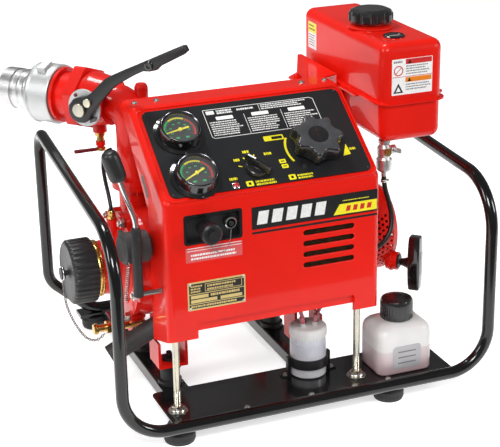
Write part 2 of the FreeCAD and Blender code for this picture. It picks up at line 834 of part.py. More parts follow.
def make_engine():
    y = dim.shaft_y
    z = dim.shaft_height
    case = rounded(block(270, 140, 140, -35, y, z - 70), 16.0, lambda edge: runs_along(edge, RIGHT))
    skirt = block(255, 44, 7.5, -57.5, 167, 164)
    skirt_back = block(255, 44, 7.5, -57.5, 328, 164)
    pan = block(230, 150, 34, -55, 247, 164)
    cavity = rod(52, 92, -76, y, z, RIGHT)
    bore = rod(12.0, 300, -185, y, z, RIGHT)
    node("crankcase", cut(fuse(case, skirt, skirt_back, pan), cavity, bore))

    core = tube(38, 27, 120, -30, y, z + 70.1)
    fins = [rounded(block(108, 108, 3, -30, y, z + 86 + 11 * level), 20.0, lambda edge: runs_along(edge,
                                                                                                   UP))
            for level in range(9)]
    head = cut(fuse(rod(38, 14, -30, y, z + 178), rod(9, 22, -30, y, z + 190)), rod(27, 6, -30, y, z + 176))
    fins_bored = cut(fuse(*fins), rod(27, 110, -30, y, z + 76))
    node("cylinder", fuse(core, fins_bored, head))

    webs = [rod(44, 14, x, y, z, RIGHT) for x in (-62, -14)]
    crank_pin = rod(9, 50, -56, y, z + 26, RIGHT)
    long_shaft = [rod(dim.shaft_radius, 205, -262, y, z, RIGHT), rod(dim.shaft_radius, 190, -8, y, z,
                                                                     RIGHT)]
    node("drive_shaft", fuse(*webs, crank_pin, *long_shaft))

    body_block = rounded(block(42, 40, 52, 100, 119, 246), 4.0, is_straight)
    throat_pipe = tube(15, 11, 26, 84, 138, 272, Vector(0, 1, 0))
    nipple = rod(2.8, 8, 120.5, 119, 258, RIGHT)
    node("carburettor", fuse(body_block, throat_pipe, rod(16, 14, 100, 119, 233), nipple))

    box = rounded(block(110, 36, 84, 20, 84, 268), 8.0, is_straight)
    node("air_cleaner", fuse(box, block(10, 12, 30, 79.5, 96, 300)))

    drum = rounded(block(120, 46, 78, -125, 128, 222), 14.0, is_straight)
    port = rod(14, 14, -110, 148, 262, Vector(0, 1, 0))
    route = [Vector(-150, 128, 240), Vector(-194, 135, 190), Vector(-230, 171.5, 161), Vector(-323, 173,
                                                                                              116)]
    tail = pipe(18.0, [tuple(point) for point in route], [24, 60])
    past_end = route[3] + (route[3] - route[2]).normalize() * 2
    hollow = bar(15.5, route[2] + (route[3] - route[2]) * 0.3, past_end)
    node("silencer", cut(fuse(drum, port, tail), hollow))

    ring_wall = [(60, 0), (92, 0), (92, 62), (88, 62), (88, 4), (60, 4)]
    node("fan_housing", turned("fan_housing", ring_wall, 122.5, y, z, facing(RIGHT)))

    fan = turned("flywheel_fan", [(12.0, 0), (26, 0), (26, 8), (74, 8), (dim.fan_radius, 12),
                                  (dim.fan_radius, 20), (30, 20), (30, 44),
                                  (12.0, 44)], 134, y, z, facing(RIGHT))
    blade = outline(sketch(fan, "XY_Plane", 19.8), [(32, -1.5), (76, -1.5), (76, 1.5), (32, 1.5)])
    around(fan, pad(fan, blade, 18.0), 12)
    node("flywheel_fan", fan)


def make_starter():
    y = dim.shaft_y
    z = dim.shaft_height
    rim = dim.starter_radius
    shell = turned("starter_shell", [(rim - 3, 0), (rim + 7, 0), (rim + 7, 3), (rim, 3), (rim, 46),
                                     (rim - 8, 58),
                                     (rim - 26, 64), (0, 64), (0, 61), (rim - 27, 61), (rim - 10.5, 55.5),
                                     (rim - 3, 45)],
                   186, y, z, facing(RIGHT))
    window = outline(sketch(shell, "XY_Plane", 50.0), [(34, -3.5), (60, -3.5), (60, 3.5), (34, 3.5)])
    around(shell, pocket(shell, window, 30.0, Reversed=True), 14)
    grid = []
    for column in range(5):
        for row in range(22):
            turn = math.radians(150 + row * 7.5 + (0 if column % 2 else 3.75))
            direction = Vector(0, math.cos(turn), math.sin(turn))
            centre = Vector(195 + column * 8.2, number(y), number(z)) + direction * (number(rim) - 1)
            grid.append(turned_block(5.0, 5.0, 10.0, centre, facing(direction)))
    guide_start = Vector(231, 172, 210)
    guide_end = Vector(246, 157, 210)
    guide = bar(17, guide_start, guide_end)
    eye = bar(4, guide_start - ROPE * 30, guide_end + ROPE * 5)
    post = rod(9, 34, 249.5, y, z, LEFT)
    keep_clear = rod(rim - 3, 44, 188, y, z, RIGHT)
    cover = fuse(cut(shell, *grid), cut(guide, keep_clear), post)
    node("starter_housing", cut(cover, eye))

    half = 8.0
    groove = dim.pulley_radius
    pulley = turned("starter_pulley", [(9.4, -half), (54, -half), (54, -5), (groove, -3), (groove, 3),
                                       (54, 5), (54, half), (9.4, half)], 232, y, z, facing(RIGHT))
    holes = pocket(pulley, ring(sketch(pulley, "XY_Plane", half), 9.0, 27.0, 0.0), 20.0)
    around(pulley, holes, 4)
    node("starter_pulley", pulley)

    centre = Vector(268, 132, 212)
    turn = Rotation(UP, -45)
    bar_grip = rounded(turned_block(25.0, 24.0, 106.0, centre, turn), 6.0, is_straight)
    neck = cone(11, 7, 16, centre.x - ROPE.x * 12, centre.y - ROPE.y * 12, 210, -ROPE)
    node("starter_grip", fuse(bar_grip, neck))


# Pump


PUMP_BACK = -180.0


def make_pump():
    y = dim.shaft_y
    z = dim.shaft_height
    rim = dim.casing_radius
    casing = turned("volute", [(12.4, 0.2), (58, 0.2), (58, 10), (rim - 12, 16), (rim, 28), (rim, 64),
                               (rim - 6, 85), (72, 85),
                               (72, 76), (rim - 14, 68), (rim - 10, 60), (rim - 10, 34), (rim - 16, 26),
                               (52, 20), (12.4, 20)],
                    PUMP_BACK, y, z, facing(LEFT))
    stub = cut(rod(34, 104, ELBOW.x, ELBOW.y, z + 20), rod(28, 120, ELBOW.x, ELBOW.y, z + 16))
    flange = cut(rod(46, 9, ELBOW.x, ELBOW.y, z + 115), rod(28, 20, ELBOW.x, ELBOW.y, z + 110))
    lugs = [rod(13, 12, -253.2, *pump_bolt_spot(angle), LEFT) for angle in PUMP_BOLT_ANGLES]
    drain_boss = rod(10, 14, -246, 228, 156)
    clear = rod(rim - 10, 40, PUMP_BACK - 22, y, z, LEFT)
    bosses = cut(fuse(stub, flange, drain_boss, *lugs), clear)
    node("pump_casing", fuse(casing, bosses))

    front = turned("neck", [(71.8, 76.2), (71.8, 85.2), (rim - 2, 85.2), (rim - 2, 94), (74, 98), (58, 110),
                            (50, 122), (48, 138),
                            (40, 138), (dim.suction_neck_radius, 141), (dim.suction_neck_radius, 172),
                            (31, 172), (31, 118), (56, 92), (66, 76.2)], PUMP_BACK, y, z, facing(LEFT))
    ears = [rod(13, 8.6, -265.4, *pump_bolt_spot(angle), LEFT) for angle in PUMP_BOLT_ANGLES]
    keep = rod(80, 12, -264, y, z, LEFT)
    boss = cut(rod(10, 50, -287, 238, 300), rod(46, 40, -270, y, z, LEFT))
    node("suction_neck", fuse(front, cut(fuse(*ears), keep), boss))

    wheel = turned("impeller", [(12.0, 24), (60, 24), (78, 27), (78, 30), (40, 33), (20, 60), (12.0, 60)],
                   PUMP_BACK, y, z, facing(LEFT))
    vane = outline(sketch(wheel, "XY_Plane", 28.0), [(16, -1.8), (76, 12), (76, 15.6), (16, 1.8)])
    around(wheel, pad(wheel, vane, 24.0), 6)
    node("impeller", wheel)

    outer = dim.suction_cap_radius
    cap = turned("suction_cap", [(dim.suction_neck_radius + 3, 0), (outer - 4, 0), (outer - 1, 3),
                                 (outer, 40), (outer - 5, 46),
                                 (0, 46), (0, 40), (dim.suction_neck_radius + 3, 40)], -330, y, z,
                 facing(LEFT))
    rib = pocket(cap, ring(sketch(cap, "XY_Plane", 46.5), 2.2, outer + 1, 0.0), 44.0)
    around(cap, rib, 36)
    node("suction_cap", cap)

    swivel = fuse(rod(5, 9, -376.2, y, z, LEFT), rod(11, 7, -381, y, z, LEFT))
    node("cap_swivel", swivel)

    drain_y = 228.0
    drain = fuse(rod(8, 19.5, -246, drain_y, 136.4), rod(9, 66, -240, drain_y, 146, LEFT),
                 put(new("Part::Prism", Polygon=6, Circumradius=13, Height=8), -304, drain_y, 146,
                     facing(LEFT)),
                 rod(7, 16, -312, drain_y, 146, LEFT), rod(10, 5, -328, drain_y, 146, LEFT))
    node("drain_cock", drain)


CHAIN_ROUTE = [(-385.5, 229, 250.5), (-385, 227, 232), (-383.5, 226, 208), (-377, 225, 184),
               (-366, 225, 158), (-352, 225, 136),
               (-338, 226, 124), (-325, 227.5, 124.5), (-313, 228, 134.6)]


def make_delivery():
    turn = [43.0]
    start = number(dim.shaft_height) + 124.2
    outer = pipe(dim.delivery_radius, [(ELBOW.x, ELBOW.y, start), tuple(ELBOW), tuple(along_outlet(46))],
                 turn)
    inner = pipe(27.0, [(ELBOW.x, ELBOW.y, start - 3), tuple(ELBOW), tuple(along_outlet(50))], turn)
    low_flange = rod(46, 9, ELBOW.x, ELBOW.y, start)
    top_boss = fuse(rod(12.5, 20, -196, 322, 542), cone(12.5, 9, 6, -196, 322, 562))
    check_cover = fuse(rod(31, 56, ELBOW.x, ELBOW.y, 500, RIGHT), rod(35, 6, ELBOW.x + 44, ELBOW.y, 500,
                                                                      RIGHT))
    end_flange = rod(44, 4, *along_outlet(42), OUTLET)
    node("delivery_elbow", cut(fuse(outer, low_flange, top_boss, check_cover, end_flange), inner))

    neck = cone(44, 50, 34, *along_outlet(46.2), OUTLET)
    belly = rod(50, 16, *along_outlet(80), OUTLET)
    hexagon = put_at(new("Part::Prism", Polygon=6, Circumradius=62, Height=24), along_outlet(92),
                     facing(OUTLET))
    corners = rounded(hexagon, 8.0, lambda edge: runs_along(edge, OUTLET))
    stem_boss = rod(19.0, 56, *along_outlet(BALL), STEM)
    stop_disc = rod(34, 4, *along_outlet(BALL, 53), STEM)
    throat = rod(43, 36, *along_outlet(112), OUTLET)
    rim = rod(51, 6, *along_outlet(146), OUTLET)
    collar = rod(41.5, 36, *along_outlet(150), OUTLET)
    lower_boss = rod(13, 62, *along_outlet(COCK), -UP)
    cock_body = fuse(rod(6.5, 31, *along_outlet(COCK, 0, -61), -UP), rod(9, 8, *along_outlet(COCK, 0, -80),
                                                                         -UP))
    cavity = put_at(new("Part::Sphere", Radius=dim.ball_radius + 0.5), along_outlet(BALL))
    waterway = rod(dim.ball_bore_radius, 140, *along_outlet(55), OUTLET)
    wide_end = rod(27, 90, *along_outlet(112), OUTLET)
    stem_hole = rod(9.4, 80, *along_outlet(BALL), STEM)
    solid = fuse(neck, belly, corners, stem_boss, stop_disc, throat, rim, collar,
                 lower_boss, cock_body)
    node("valve_body", cut(solid, cavity, waterway, wide_end, stem_hole))

    ball = put_at(new("Part::Sphere", Radius=dim.ball_radius), along_outlet(BALL))
    bore = rod(dim.ball_bore_radius, 100, *along_outlet(BALL, 0, -50), UP)
    stem = rod(9, 57, *along_outlet(BALL, 21), STEM)
    node("valve_ball", fuse(cut(ball, bore), stem))

    lever_points = [(0, 0), (22, 18), (40, 40), (66, 61), (140, 94), (218, 131)]
    pieces = [rod(22, 14, *lever_point(0, 0, 60), STEM)]
    for first, second in zip(lever_points, lever_points[1:]):
        pieces.append(lever_link(first, second, 18.0, 8.0))
    for point in lever_points[1:-1]:
        pieces.append(rod(9, 8, *lever_point(point[0], point[1], 64), STEM))
    pieces.append(rod(9.5, 11, *lever_point(150, 97, 62.5), STEM))
    grip = cut(fuse(*pieces), rod(9.0, 22, *along_outlet(BALL, 58), STEM))
    nut = rod(13, 5, *lever_point(0, 0, 78.05), STEM)
    small_bolt = rod(7, 5, *lever_point(16, 14, 74.05), STEM)
    node("valve_lever", group(grip, nut, small_bolt))

    ring_outer = dim.coupling_radius
    coupling = turned_at("coupling_ring", [(42.5, 1), (ring_outer - 1, 1), (ring_outer, 3),
                                           (ring_outer, 42), (ring_outer + 2, 46),
                                           (ring_outer - 1, 52), (42.5, 52)], along_outlet(153), OUTLET)
    lean = math.radians(18)
    turn_lug = Rotation(OUTLET, -math.degrees(lean)) * Rotation(UP, 180 - math.degrees(DELIVERY_ANGLE))
    reach = ring_outer + 2
    lugs = [turned_block(17.0, 27.0, 9.0, along_outlet(179, side * reach * math.sin(lean),
                                                       side * reach * math.cos(lean)),
                         turn_lug) for side in (1, -1)]
    hole = rod(42.5, 70, *along_outlet(145), OUTLET)
    node("coupling_ring", cut(fuse(coupling, *lugs), hole))

    land = 38.8
    valley = 37.3
    crest_radius = 38.6
    tail = [(30, 0.3), (42, 0.3), (42, 18), (41, 22), (valley, 24)]
    for crest in (33, 47, 61):
        tail += [(valley, crest - 3), (crest_radius, crest), (valley, crest + 3)]
    tail += [(land, 65.33), (land, 89.33), (36.8, 91.33), (30, 91.33)]
    node("hose_tail", turned_at("hose_tail", tail, along_outlet(186), OUTLET))

    hub = along_outlet(COCK, 0, -92.2)
    handle = [rod(9, 6, *hub, -UP), block(44, 9, 5, hub.x - 22, hub.y, hub.z - 5.5), rod(7, 5, hub.x - 44,
                                                                                         hub.y,
                                                                                         hub.z - 5.5)]
    node("cock_handle", fuse(*handle))


def lever_point(back, up, side):
    """Point of the valve lever: back from the hub along the pipe, up, and out along the stem."""
    return along_outlet(BALL - back, side, up)


def lever_link(first, second, width, thickness):
    start = lever_point(first[0], first[1], 64 + thickness / 2)
    end = lever_point(second[0], second[1], 64 + thickness / 2)
    run = end - start
    side = STEM.cross(run).normalize()
    rotation = Rotation(run, side, STEM, "XYZ")
    return turned_block(run.Length, width, thickness, (start + end) / 2, rotation)


HOSE_ROUTE = [(-257.2, 322, 452), (-268, 320, 450), (-277, 310, 442), (-283, 293, 428), (-286, 272, 410),
              (-287, 252, 392), (-287, 240, 370), (-287, 238, 350.6)]


def make_priming():
    pump = turned("vacuum_pump", [(0, 0), (20, 0), (24, 3), (28, 6), (28, 48), (22, 54), (0, 54)], -255.5,
                  118, 338, facing(LEFT))
    bracket = block(8, 60, 14, -286, 165, 330)
    node("vacuum_pump", fuse(pump, bracket))

    sleeve = rod(8.5, 124, -292, 76, 266)
    foot_rod = rod(4.5, 41, -292, 76, 268, RIGHT)
    knee = bar(4.5, Vector(-292, 76, 388), Vector(-292, 76, 398))
    stick = bar(4.5, Vector(-292, 76, 398), Vector(-318, 76, 482))
    grip = bar(15.5, Vector(-316, 76, 477), Vector(-332, 76, 528))
    node("priming_lever", fuse(sleeve, foot_rod, knee, put(new("Part::Sphere", Radius=4.5), -292, 76, 398),
                               stick, rounded(grip, 6.0, lambda edge: edge.Closed)))


# Loose containers on the base plate


BOTTLE = (200.0, 73.0)
CANISTER = (36.0, 106.0)


def make_containers():
    x, y = BOTTLE
    flask = body("oil_bottle", x, y, dim.plate_top + 0.1)
    pad(flask, rectangle(sketch(flask, "XY_Plane"), dim.bottle_width, dim.bottle_depth), 96.0)
    soften(flask, 15.0, lambda edge: runs_along(edge, UP))
    soften(flask, 22.0, lambda edge: all_at(edge, "Z", 96.0))
    soften(flask, 5.0, lambda edge: all_at(edge, "Z", 0.0))
    pad(flask, ring(sketch(flask, "XY_Plane", 95.0), 20.0), 16.0)
    node("oil_bottle", flask)
    cap = turned("bottle_cap", [(20.6, 0), (30, 0), (30.5, 2), (30.5, 34), (27, 38), (0, 38), (0, 16),
                                (20.6, 16)], x, y, 139.5)
    node("bottle_cap", cap)

    x, y = CANISTER
    radius = dim.canister_radius
    jar = turned("canister", [(0, 0), (radius - 3, 0), (radius, 3), (radius, 66), (radius - 1, 70),
                              (radius - 1, 78),
                              (radius - 4, 78), (radius - 4, 4), (0, 4)], x, y, dim.plate_top + 0.1)
    node("canister", jar)
    lid = turned("canister_lid", [(0, 0), (radius - 4.3, 0), (radius - 4.3, 0.3), (radius + 0.5, 0.3),
                                  (radius + 1, 2),
                                  (radius + 1, 16), (radius - 2, 19), (0, 19)], x, y, 120.1)
    ports = [rod(4.5, 7, x + offset, y - 4, 138) for offset in (-12, 12)]
    node("canister_lid", fuse(lid, *ports))
    band = tube(radius + 3.2, radius + 0.6, 18, x, y, 62)
    ears = [block(6, 10, 38, x + side * 39.4, y, 42.1) for side in (1, -1)]
    feet = [block(18, 12, 2.4, x + side * 45, y, 42.1) for side in (1, -1)]
    node("canister_holder", fuse(band, *ears, *feet))


def drain_tube(offset, route_end):
    x, y = CANISTER
    points = [(x + offset, y - 4, 146.3), (x + offset + route_end[0] * 0.12, y - 4.5, 158),
              (x + offset + route_end[0] * 0.45, y - 3, 170), (x + offset + route_end[0], y + 2, 186),
              (x + offset + route_end[0] * 1.5, y + 8, 208)]
    return pipe(3.5, points, free_radii(points))


def build():
    make_frame()
    make_base_plate()
    make_rails()
    make_feet()
    make_mounts()
    make_stays()
    make_cover()
    make_panel()
    lenses = [make_gauge("pressure_gauge_case", "pressure_needle", PRESSURE_GAUGE, 102.0),
              make_gauge("suction_gauge_case", "suction_needle", SUCTION_GAUGE, 117.0)]
    node("gauge_glasses", group(*lenses))
    make_knobs()
    make_front_sockets()
    make_fasteners()
    make_tank()
    make_petcock()
    cord("fuel_hose", 4.5, FUEL_ROUTE)
    make_engine()
    make_starter()
    make_pump()
    cord("cap_chain", 1.6, CHAIN_ROUTE)
    make_delivery()
    cord("priming_hose", 3.5, HOSE_ROUTE)
    make_priming()
    make_containers()
    node("canister_tubes", group(drain_tube(-12, (-10, 0)), drain_tube(12, (26, 0))))


def check_and_write():
    document.recompute()
    failed = [thing.Label for thing in document.Objects if {"Invalid", "Error"} & set(thing.State)]
    if failed:
        raise RuntimeError("objects that failed: " + ", ".join(failed))
    os.makedirs("parts", exist_ok=True)
    box = FreeCAD.BoundBox()
    for label, thing in nodes.items():
        shape = thing.Shape
        if shape.isNull() or not shape.isValid() or not shape.Solids:
            raise RuntimeError("the shape of %s is not a valid solid" % label)
        shape.exportStep("parts/%s.step" % label)
        box.add(shape.BoundBox)
        print("%-20s solids %d volume %.0f" % (label, len(shape.Solids), shape.Volume))
    print("nodes", len(nodes), "box", box)


build()
check_and_write()
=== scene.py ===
import math
import random

import bmesh
import bpy
from mathutils import Matrix, Vector


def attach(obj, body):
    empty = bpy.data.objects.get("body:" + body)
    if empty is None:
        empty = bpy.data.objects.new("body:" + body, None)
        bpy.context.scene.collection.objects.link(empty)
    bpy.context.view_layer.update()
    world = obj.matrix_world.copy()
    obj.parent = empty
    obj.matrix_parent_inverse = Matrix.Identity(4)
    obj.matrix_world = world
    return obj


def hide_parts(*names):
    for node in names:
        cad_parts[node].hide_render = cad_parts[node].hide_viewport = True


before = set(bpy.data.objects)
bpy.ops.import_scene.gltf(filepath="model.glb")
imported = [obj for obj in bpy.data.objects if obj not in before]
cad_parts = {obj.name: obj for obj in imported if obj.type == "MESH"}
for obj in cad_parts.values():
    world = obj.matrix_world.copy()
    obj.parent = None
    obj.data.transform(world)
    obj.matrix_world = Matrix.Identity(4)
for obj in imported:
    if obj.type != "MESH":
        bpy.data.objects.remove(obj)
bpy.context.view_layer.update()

# Machine coordinates, as in the CAD source: millimetres, X from the frame's middle, Y back from the front
# tube, Z up from the floor. place() turns them into the row frame in metres.
SHIFT = Vector((27.6, -288.7, 0.0))
MM = 0.001
BASE = "machine"

PANEL_ANGLE = math.radians(35.2)
PANEL_NORMAL = Vector((0, -math.sin(PANEL_ANGLE), math.cos(PANEL_ANGLE)))
PANEL_TOP = 2.06
DELIVERY = math.radians(50)
OUTLET = Vector((-math.cos(DELIVERY), math.sin(DELIVERY), 0))
STEM = Vector((-math.sin(DELIVERY), -math.cos(DELIVERY), 0))
ELBOW = Vector((-212, 322, 532))
BALL = 66.0
COCK = 76.0
SHAFT_Y = 235.0
SHAFT_Z = 262.0
UP = Vector((0, 0, 1))
LEFT = Vector((-1, 0, 0))
FRONT = Vector((0, -1, 0))


def place(point):
    return (Vector(point) + SHIFT) * MM


def local(origin, z=UP, x=None):
    """Matrix from a local frame in millimetres to the row frame in metres."""
    z = Vector(z).normalized()
    if x is None:
        x = Vector((1, 0, 0)) if abs(z.x) < 0.9 else Vector((0, 1, 0))
    x = Vector(x)
    x = (x - z * x.dot(z)).normalized()
    axes = Matrix((x, z.cross(x), z)).transposed().to_4x4()
    return Matrix.Translation(place(origin)) @ axes @ Matrix.Scale(MM, 4)


def panel(across, up_slope, height=PANEL_TOP, turn=0.0):
    origin = Vector((across,
                     55.9 + up_slope * math.cos(PANEL_ANGLE) - height * math.sin(PANEL_ANGLE),
                     437.2 + up_slope * math.sin(PANEL_ANGLE) + height * math.cos(PANEL_ANGLE)))
    return local(origin, PANEL_NORMAL, (1, 0, 0)) @ Matrix.Rotation(math.radians(turn), 4, "Z")


def delivery(distance, side=0.0, height=0.0):
    return ELBOW + OUTLET * distance + STEM * side + Vector((0, 0, height))


# ---------------------------------------------------------------- materials


def link(tree, a, b):
    tree.links.new(a, b)


def material(name, color, rough=0.4, metallic=0.0, coat=0.0, coat_rough=0.05, vary=0.08, vary_scale=25.0,
             rough_vary=0.06, bump=0.0, bump_scale=900.0, bump_detail=3.0, fine=0.0, fine_scale=3500.0,
             alpha=1.0, specular=0.5, stretch=None, second=None, subsurface=0.0, transmission=0.0,
             speck=None, bands=None):
    """Procedural material: a colour that drifts, roughness that drifts, and two sizes of surface relief."""
    mat = bpy.data.materials.new(name)
    mat.use_nodes = True
    tree = mat.node_tree
    shader = tree.nodes["Principled BSDF"]
    shader.inputs["Metallic"].default_value = metallic
    shader.inputs["Coat Weight"].default_value = coat
    shader.inputs["Coat Roughness"].default_value = coat_rough
    shader.inputs["Specular IOR Level"].default_value = specular
    shader.inputs["Alpha"].default_value = alpha
    shader.inputs["Subsurface Weight"].default_value = subsurface
    shader.inputs["Transmission Weight"].default_value = transmission
    if subsurface:
        shader.inputs["Subsurface Radius"].default_value = (0.01, 0.008, 0.008)
        shader.inputs["Subsurface Scale"].default_value = 1.0
    coords = tree.nodes.new("ShaderNodeTexCoord")
    mapping = tree.nodes.new("ShaderNodeMapping")
    mapping.inputs["Scale"].default_value = stretch or (1, 1, 1)
    link(tree, coords.outputs["Object"], mapping.inputs["Vector"])

    def noise(scale, detail=3.0):
        node = tree.nodes.new("ShaderNodeTexNoise")
        node.inputs["Scale"].default_value = scale
        node.inputs["Detail"].default_value = detail
        link(tree, mapping.outputs["Vector"], node.inputs["Vector"])
        return node

    drift = noise(vary_scale, 5.0)
    ramp = tree.nodes.new("ShaderNodeValToRGB")
    ramp.color_ramp.elements[0].position = 0.32
    ramp.color_ramp.elements[1].position = 0.68
    low = second or tuple(max(0.0, value * (1 - vary)) for value in color)
    high = tuple(min(1.0, value * (1 + vary)) for value in color)
    ramp.color_ramp.elements[0].color = (*low, 1)
    ramp.color_ramp.elements[1].color = (*high, 1)
    link(tree, drift.outputs["Fac"], ramp.inputs["Fac"])
    base = ramp.outputs["Color"]
    if speck:
        dots = noise(speck[1], 2.0)
        mask = tree.nodes.new("ShaderNodeValToRGB")
        mask.color_ramp.elements[0].position = 0.62
        mask.color_ramp.elements[1].position = 0.72
        link(tree, dots.outputs["Fac"], mask.inputs["Fac"])
        mix = tree.nodes.new("ShaderNodeMix")
        mix.data_type = "RGBA"
        link(tree, mask.outputs["Color"], mix.inputs[0])
        link(tree, base, mix.inputs[6])
        mix.inputs[7].default_value = (*speck[0], 1)
        base = mix.outputs[2]
    if bands:
        axis, levels = bands
        split = tree.nodes.new("ShaderNodeSeparateXYZ")
        link(tree, coords.outputs["Object"], split.inputs["Vector"])
        ramp_z = tree.nodes.new("ShaderNodeValToRGB")
        span = tree.nodes.new("ShaderNodeMapRange")
        span.inputs["From Min"].default_value = levels[0][0]
        span.inputs["From Max"].default_value = levels[-1][0]
        link(tree, split.outputs[axis], span.inputs["Value"])
        link(tree, span.outputs["Result"], ramp_z.inputs["Fac"])
        total = levels[-1][0] - levels[0][0]
        ends = ramp_z.color_ramp.elements
        ends[0].position = 0.0
        ends[0].color = (*levels[0][1], 1)
        ends[1].position = 1.0
        ends[1].color = (*levels[-1][1], 1)
        for level, shade in levels[1:-1]:
            stop = ends.new((level - levels[0][0]) / total)
            stop.color = (*shade, 1)
        tint = tree.nodes.new("ShaderNodeMix")
        tint.data_type = "RGBA"
        tint.blend_type = "MULTIPLY"
        tint.inputs[0].default_value = 1.0
        link(tree, base, tint.inputs[6])
        link(tree, ramp_z.outputs["Color"], tint.inputs[7])
        base = tint.outputs[2]
    link(tree, base, shader.inputs["Base Color"])
    patch = noise(vary_scale * 2.3, 4.0)
    spread = tree.nodes.new("ShaderNodeMapRange")
    spread.inputs["To Min"].default_value = max(0.02, rough - rough_vary)
    spread.inputs["To Max"].default_value = min(1.0, rough + rough_vary)
    link(tree, patch.outputs["Fac"], spread.inputs["Value"])
    link(tree, spread.outputs["Result"], shader.inputs["Roughness"])
    normal = None
    for strength, scale, detail, depth in ((bump, bump_scale, bump_detail, 0.0006), (fine, fine_scale, 2.0, 0.0002)):
        if strength:
            relief = noise(scale, detail)
            node = tree.nodes.new("ShaderNodeBump")
            node.inputs["Strength"].default_value = strength
            node.inputs["Distance"].default_value = depth
            link(tree, relief.outputs["Fac"], node.inputs["Height"])
            if normal:
                link(tree, normal, node.inputs["Normal"])
            normal = node.outputs["Normal"]
    if normal:
        link(tree, normal, shader.inputs["Normal"])
    return mat


RED = (0.80, 0.010, 0.003)
red_paint = material("red_paint", RED, rough=0.42, coat=0.38, coat_rough=0.05, specular=0.15, vary=0.05, vary_scale=9,
                     bump=0.06, bump_scale=260, fine=0.02)
red_cast = material("red_cast", (0.72, 0.008, 0.003), rough=0.42, coat=0.45, coat_rough=0.07, specular=0.15, vary=0.10,
                    vary_scale=22, bump=0.3, bump_scale=330, fine=0.12, fine_scale=1800)
black_paint = material("black_paint", (0.004, 0.004, 0.0045), rough=0.18, coat=0.5, coat_rough=0.03, specular=0.35,
                       vary=0.3, vary_scale=12, bump=0.06, bump_scale=240)
black_plate = material("black_plate", (0.006, 0.006, 0.0065), rough=0.22, coat=0.35, coat_rough=0.06, specular=0.35,
                       vary=0.35, vary_scale=16, bump=0.08, bump_scale=300, speck=((0.016, 0.016, 0.016), 420))
panel_coat = material("panel_coat", (0.016, 0.0165, 0.018), rough=0.38, specular=0.35, vary=0.12, vary_scale=8,
                      bump=0.12, bump_scale=2600, fine=0.10, fine_scale=6000)
rubber = material("rubber", (0.012, 0.012, 0.012), rough=0.62, vary=0.25, vary_scale=40, bump=0.3, bump_scale=700,
                  fine=0.2, fine_scale=2600, speck=((0.03, 0.03, 0.03), 300))
soft_grip = material("soft_grip", (0.014, 0.014, 0.015), rough=0.40, vary=0.2, vary_scale=50, bump=0.15, bump_scale=900,
                     fine=0.12)
black_plastic = material("black_plastic", (0.010, 0.010, 0.011), rough=0.44, vary=0.2, vary_scale=35, bump=0.25,
                         bump_scale=1500, fine=0.15, fine_scale=4200)
gloss_plastic = material("gloss_plastic", (0.006, 0.006, 0.0065), rough=0.16, coat=0.8, coat_rough=0.03, vary=0.2,
                         vary_scale=30, bump=0.03, bump_scale=300)
knob_plastic = material("knob_plastic", (0.012, 0.012, 0.013), rough=0.27, coat=0.35, coat_rough=0.1, vary=0.2,
                        vary_scale=45, bump=0.10, bump_scale=1100)
zinc = material("zinc", (0.66, 0.61, 0.47), rough=0.24, metallic=1.0, vary=0.06, vary_scale=60,
                second=(0.46, 0.45, 0.40), bump=0.06, bump_scale=900, stretch=(1, 1, 0.35))
steel = material("steel", (0.62, 0.61, 0.58), rough=0.28, metallic=1.0, vary=0.10, vary_scale=120, bump=0.08,
                 bump_scale=1400)
chrome = material("chrome", (0.78, 0.78, 0.78), rough=0.10, metallic=1.0, vary=0.04, vary_scale=50, rough_vary=0.03,
                  bump=0.03, bump_scale=500)
brass = material("brass", (0.76, 0.50, 0.16), rough=0.26, metallic=1.0, vary=0.10, vary_scale=90,
                 second=(0.55, 0.34, 0.10), bump=0.04, bump_scale=1100)
aluminium = material("aluminium", (0.66, 0.66, 0.66), rough=0.36, metallic=1.0, vary=0.06, vary_scale=30, bump=0.22,
                     bump_scale=900, fine=0.12, stretch=(1, 1, 3), rough_vary=0.10)
satin_silver = material("satin_silver", (0.62, 0.63, 0.63), rough=0.48, metallic=0.85, vary=0.05, vary_scale=25,
                        bump=0.2, bump_scale=1600, fine=0.2)
cast_grey = material("cast_grey", (0.30, 0.30, 0.30), rough=0.55, metallic=0.8, vary=0.14, vary_scale=40, bump=0.5,
                     bump_scale=600, fine=0.3, fine_scale=1800)
pipe_grey = material("pipe_grey", (0.035, 0.035, 0.036), rough=0.58, vary=0.25, vary_scale=28, bump=0.35, bump_scale=600,
                     fine=0.3, fine_scale=2000, speck=((0.07, 0.065, 0.06), 240))
hose_black = material("hose_black", (0.009, 0.009, 0.009), rough=0.38, vary=0.2, vary_scale=60, bump=0.12, bump_scale=800)
dark_red = material("dark_red", (0.17, 0.008, 0.012), rough=0.30, coat=0.3, vary=0.12, vary_scale=80, bump=0.1,
                    bump_scale=900)
pink_vinyl = material("pink_vinyl", (0.55, 0.12, 0.15), rough=0.22, coat=0.4, vary=0.12, vary_scale=90,
                      subsurface=0.25, bump=0.05, bump_scale=500)
white_plastic = material("white_plastic", (0.74, 0.74, 0.73), rough=0.36, vary=0.03, vary_scale=40, bump=0.10,
                         bump_scale=900, subsurface=0.15)
glass = material("glass", (0.75, 0.80, 0.80), rough=0.05, vary=0.03, alpha=0.05, specular=0.5, coat=0.5,
                 coat_rough=0.02, rough_vary=0.01)
LIQUID_TOP = 0.092
bottle_shell = material("bottle_shell", (0.80, 0.79, 0.78), rough=0.30, vary=0.03, vary_scale=30, subsurface=0.35,
                        bump=0.10, bump_scale=500, coat=0.3, coat_rough=0.15,
                        bands=("Z", [(0.040, (0.80, 0.52, 0.56)), (0.060, (0.84, 0.66, 0.69)),
                                     (LIQUID_TOP - 0.004, (0.86, 0.76, 0.79)), (LIQUID_TOP, (0.99, 0.97, 0.97)),
                                     (0.140, (1.0, 1.0, 1.0))]))
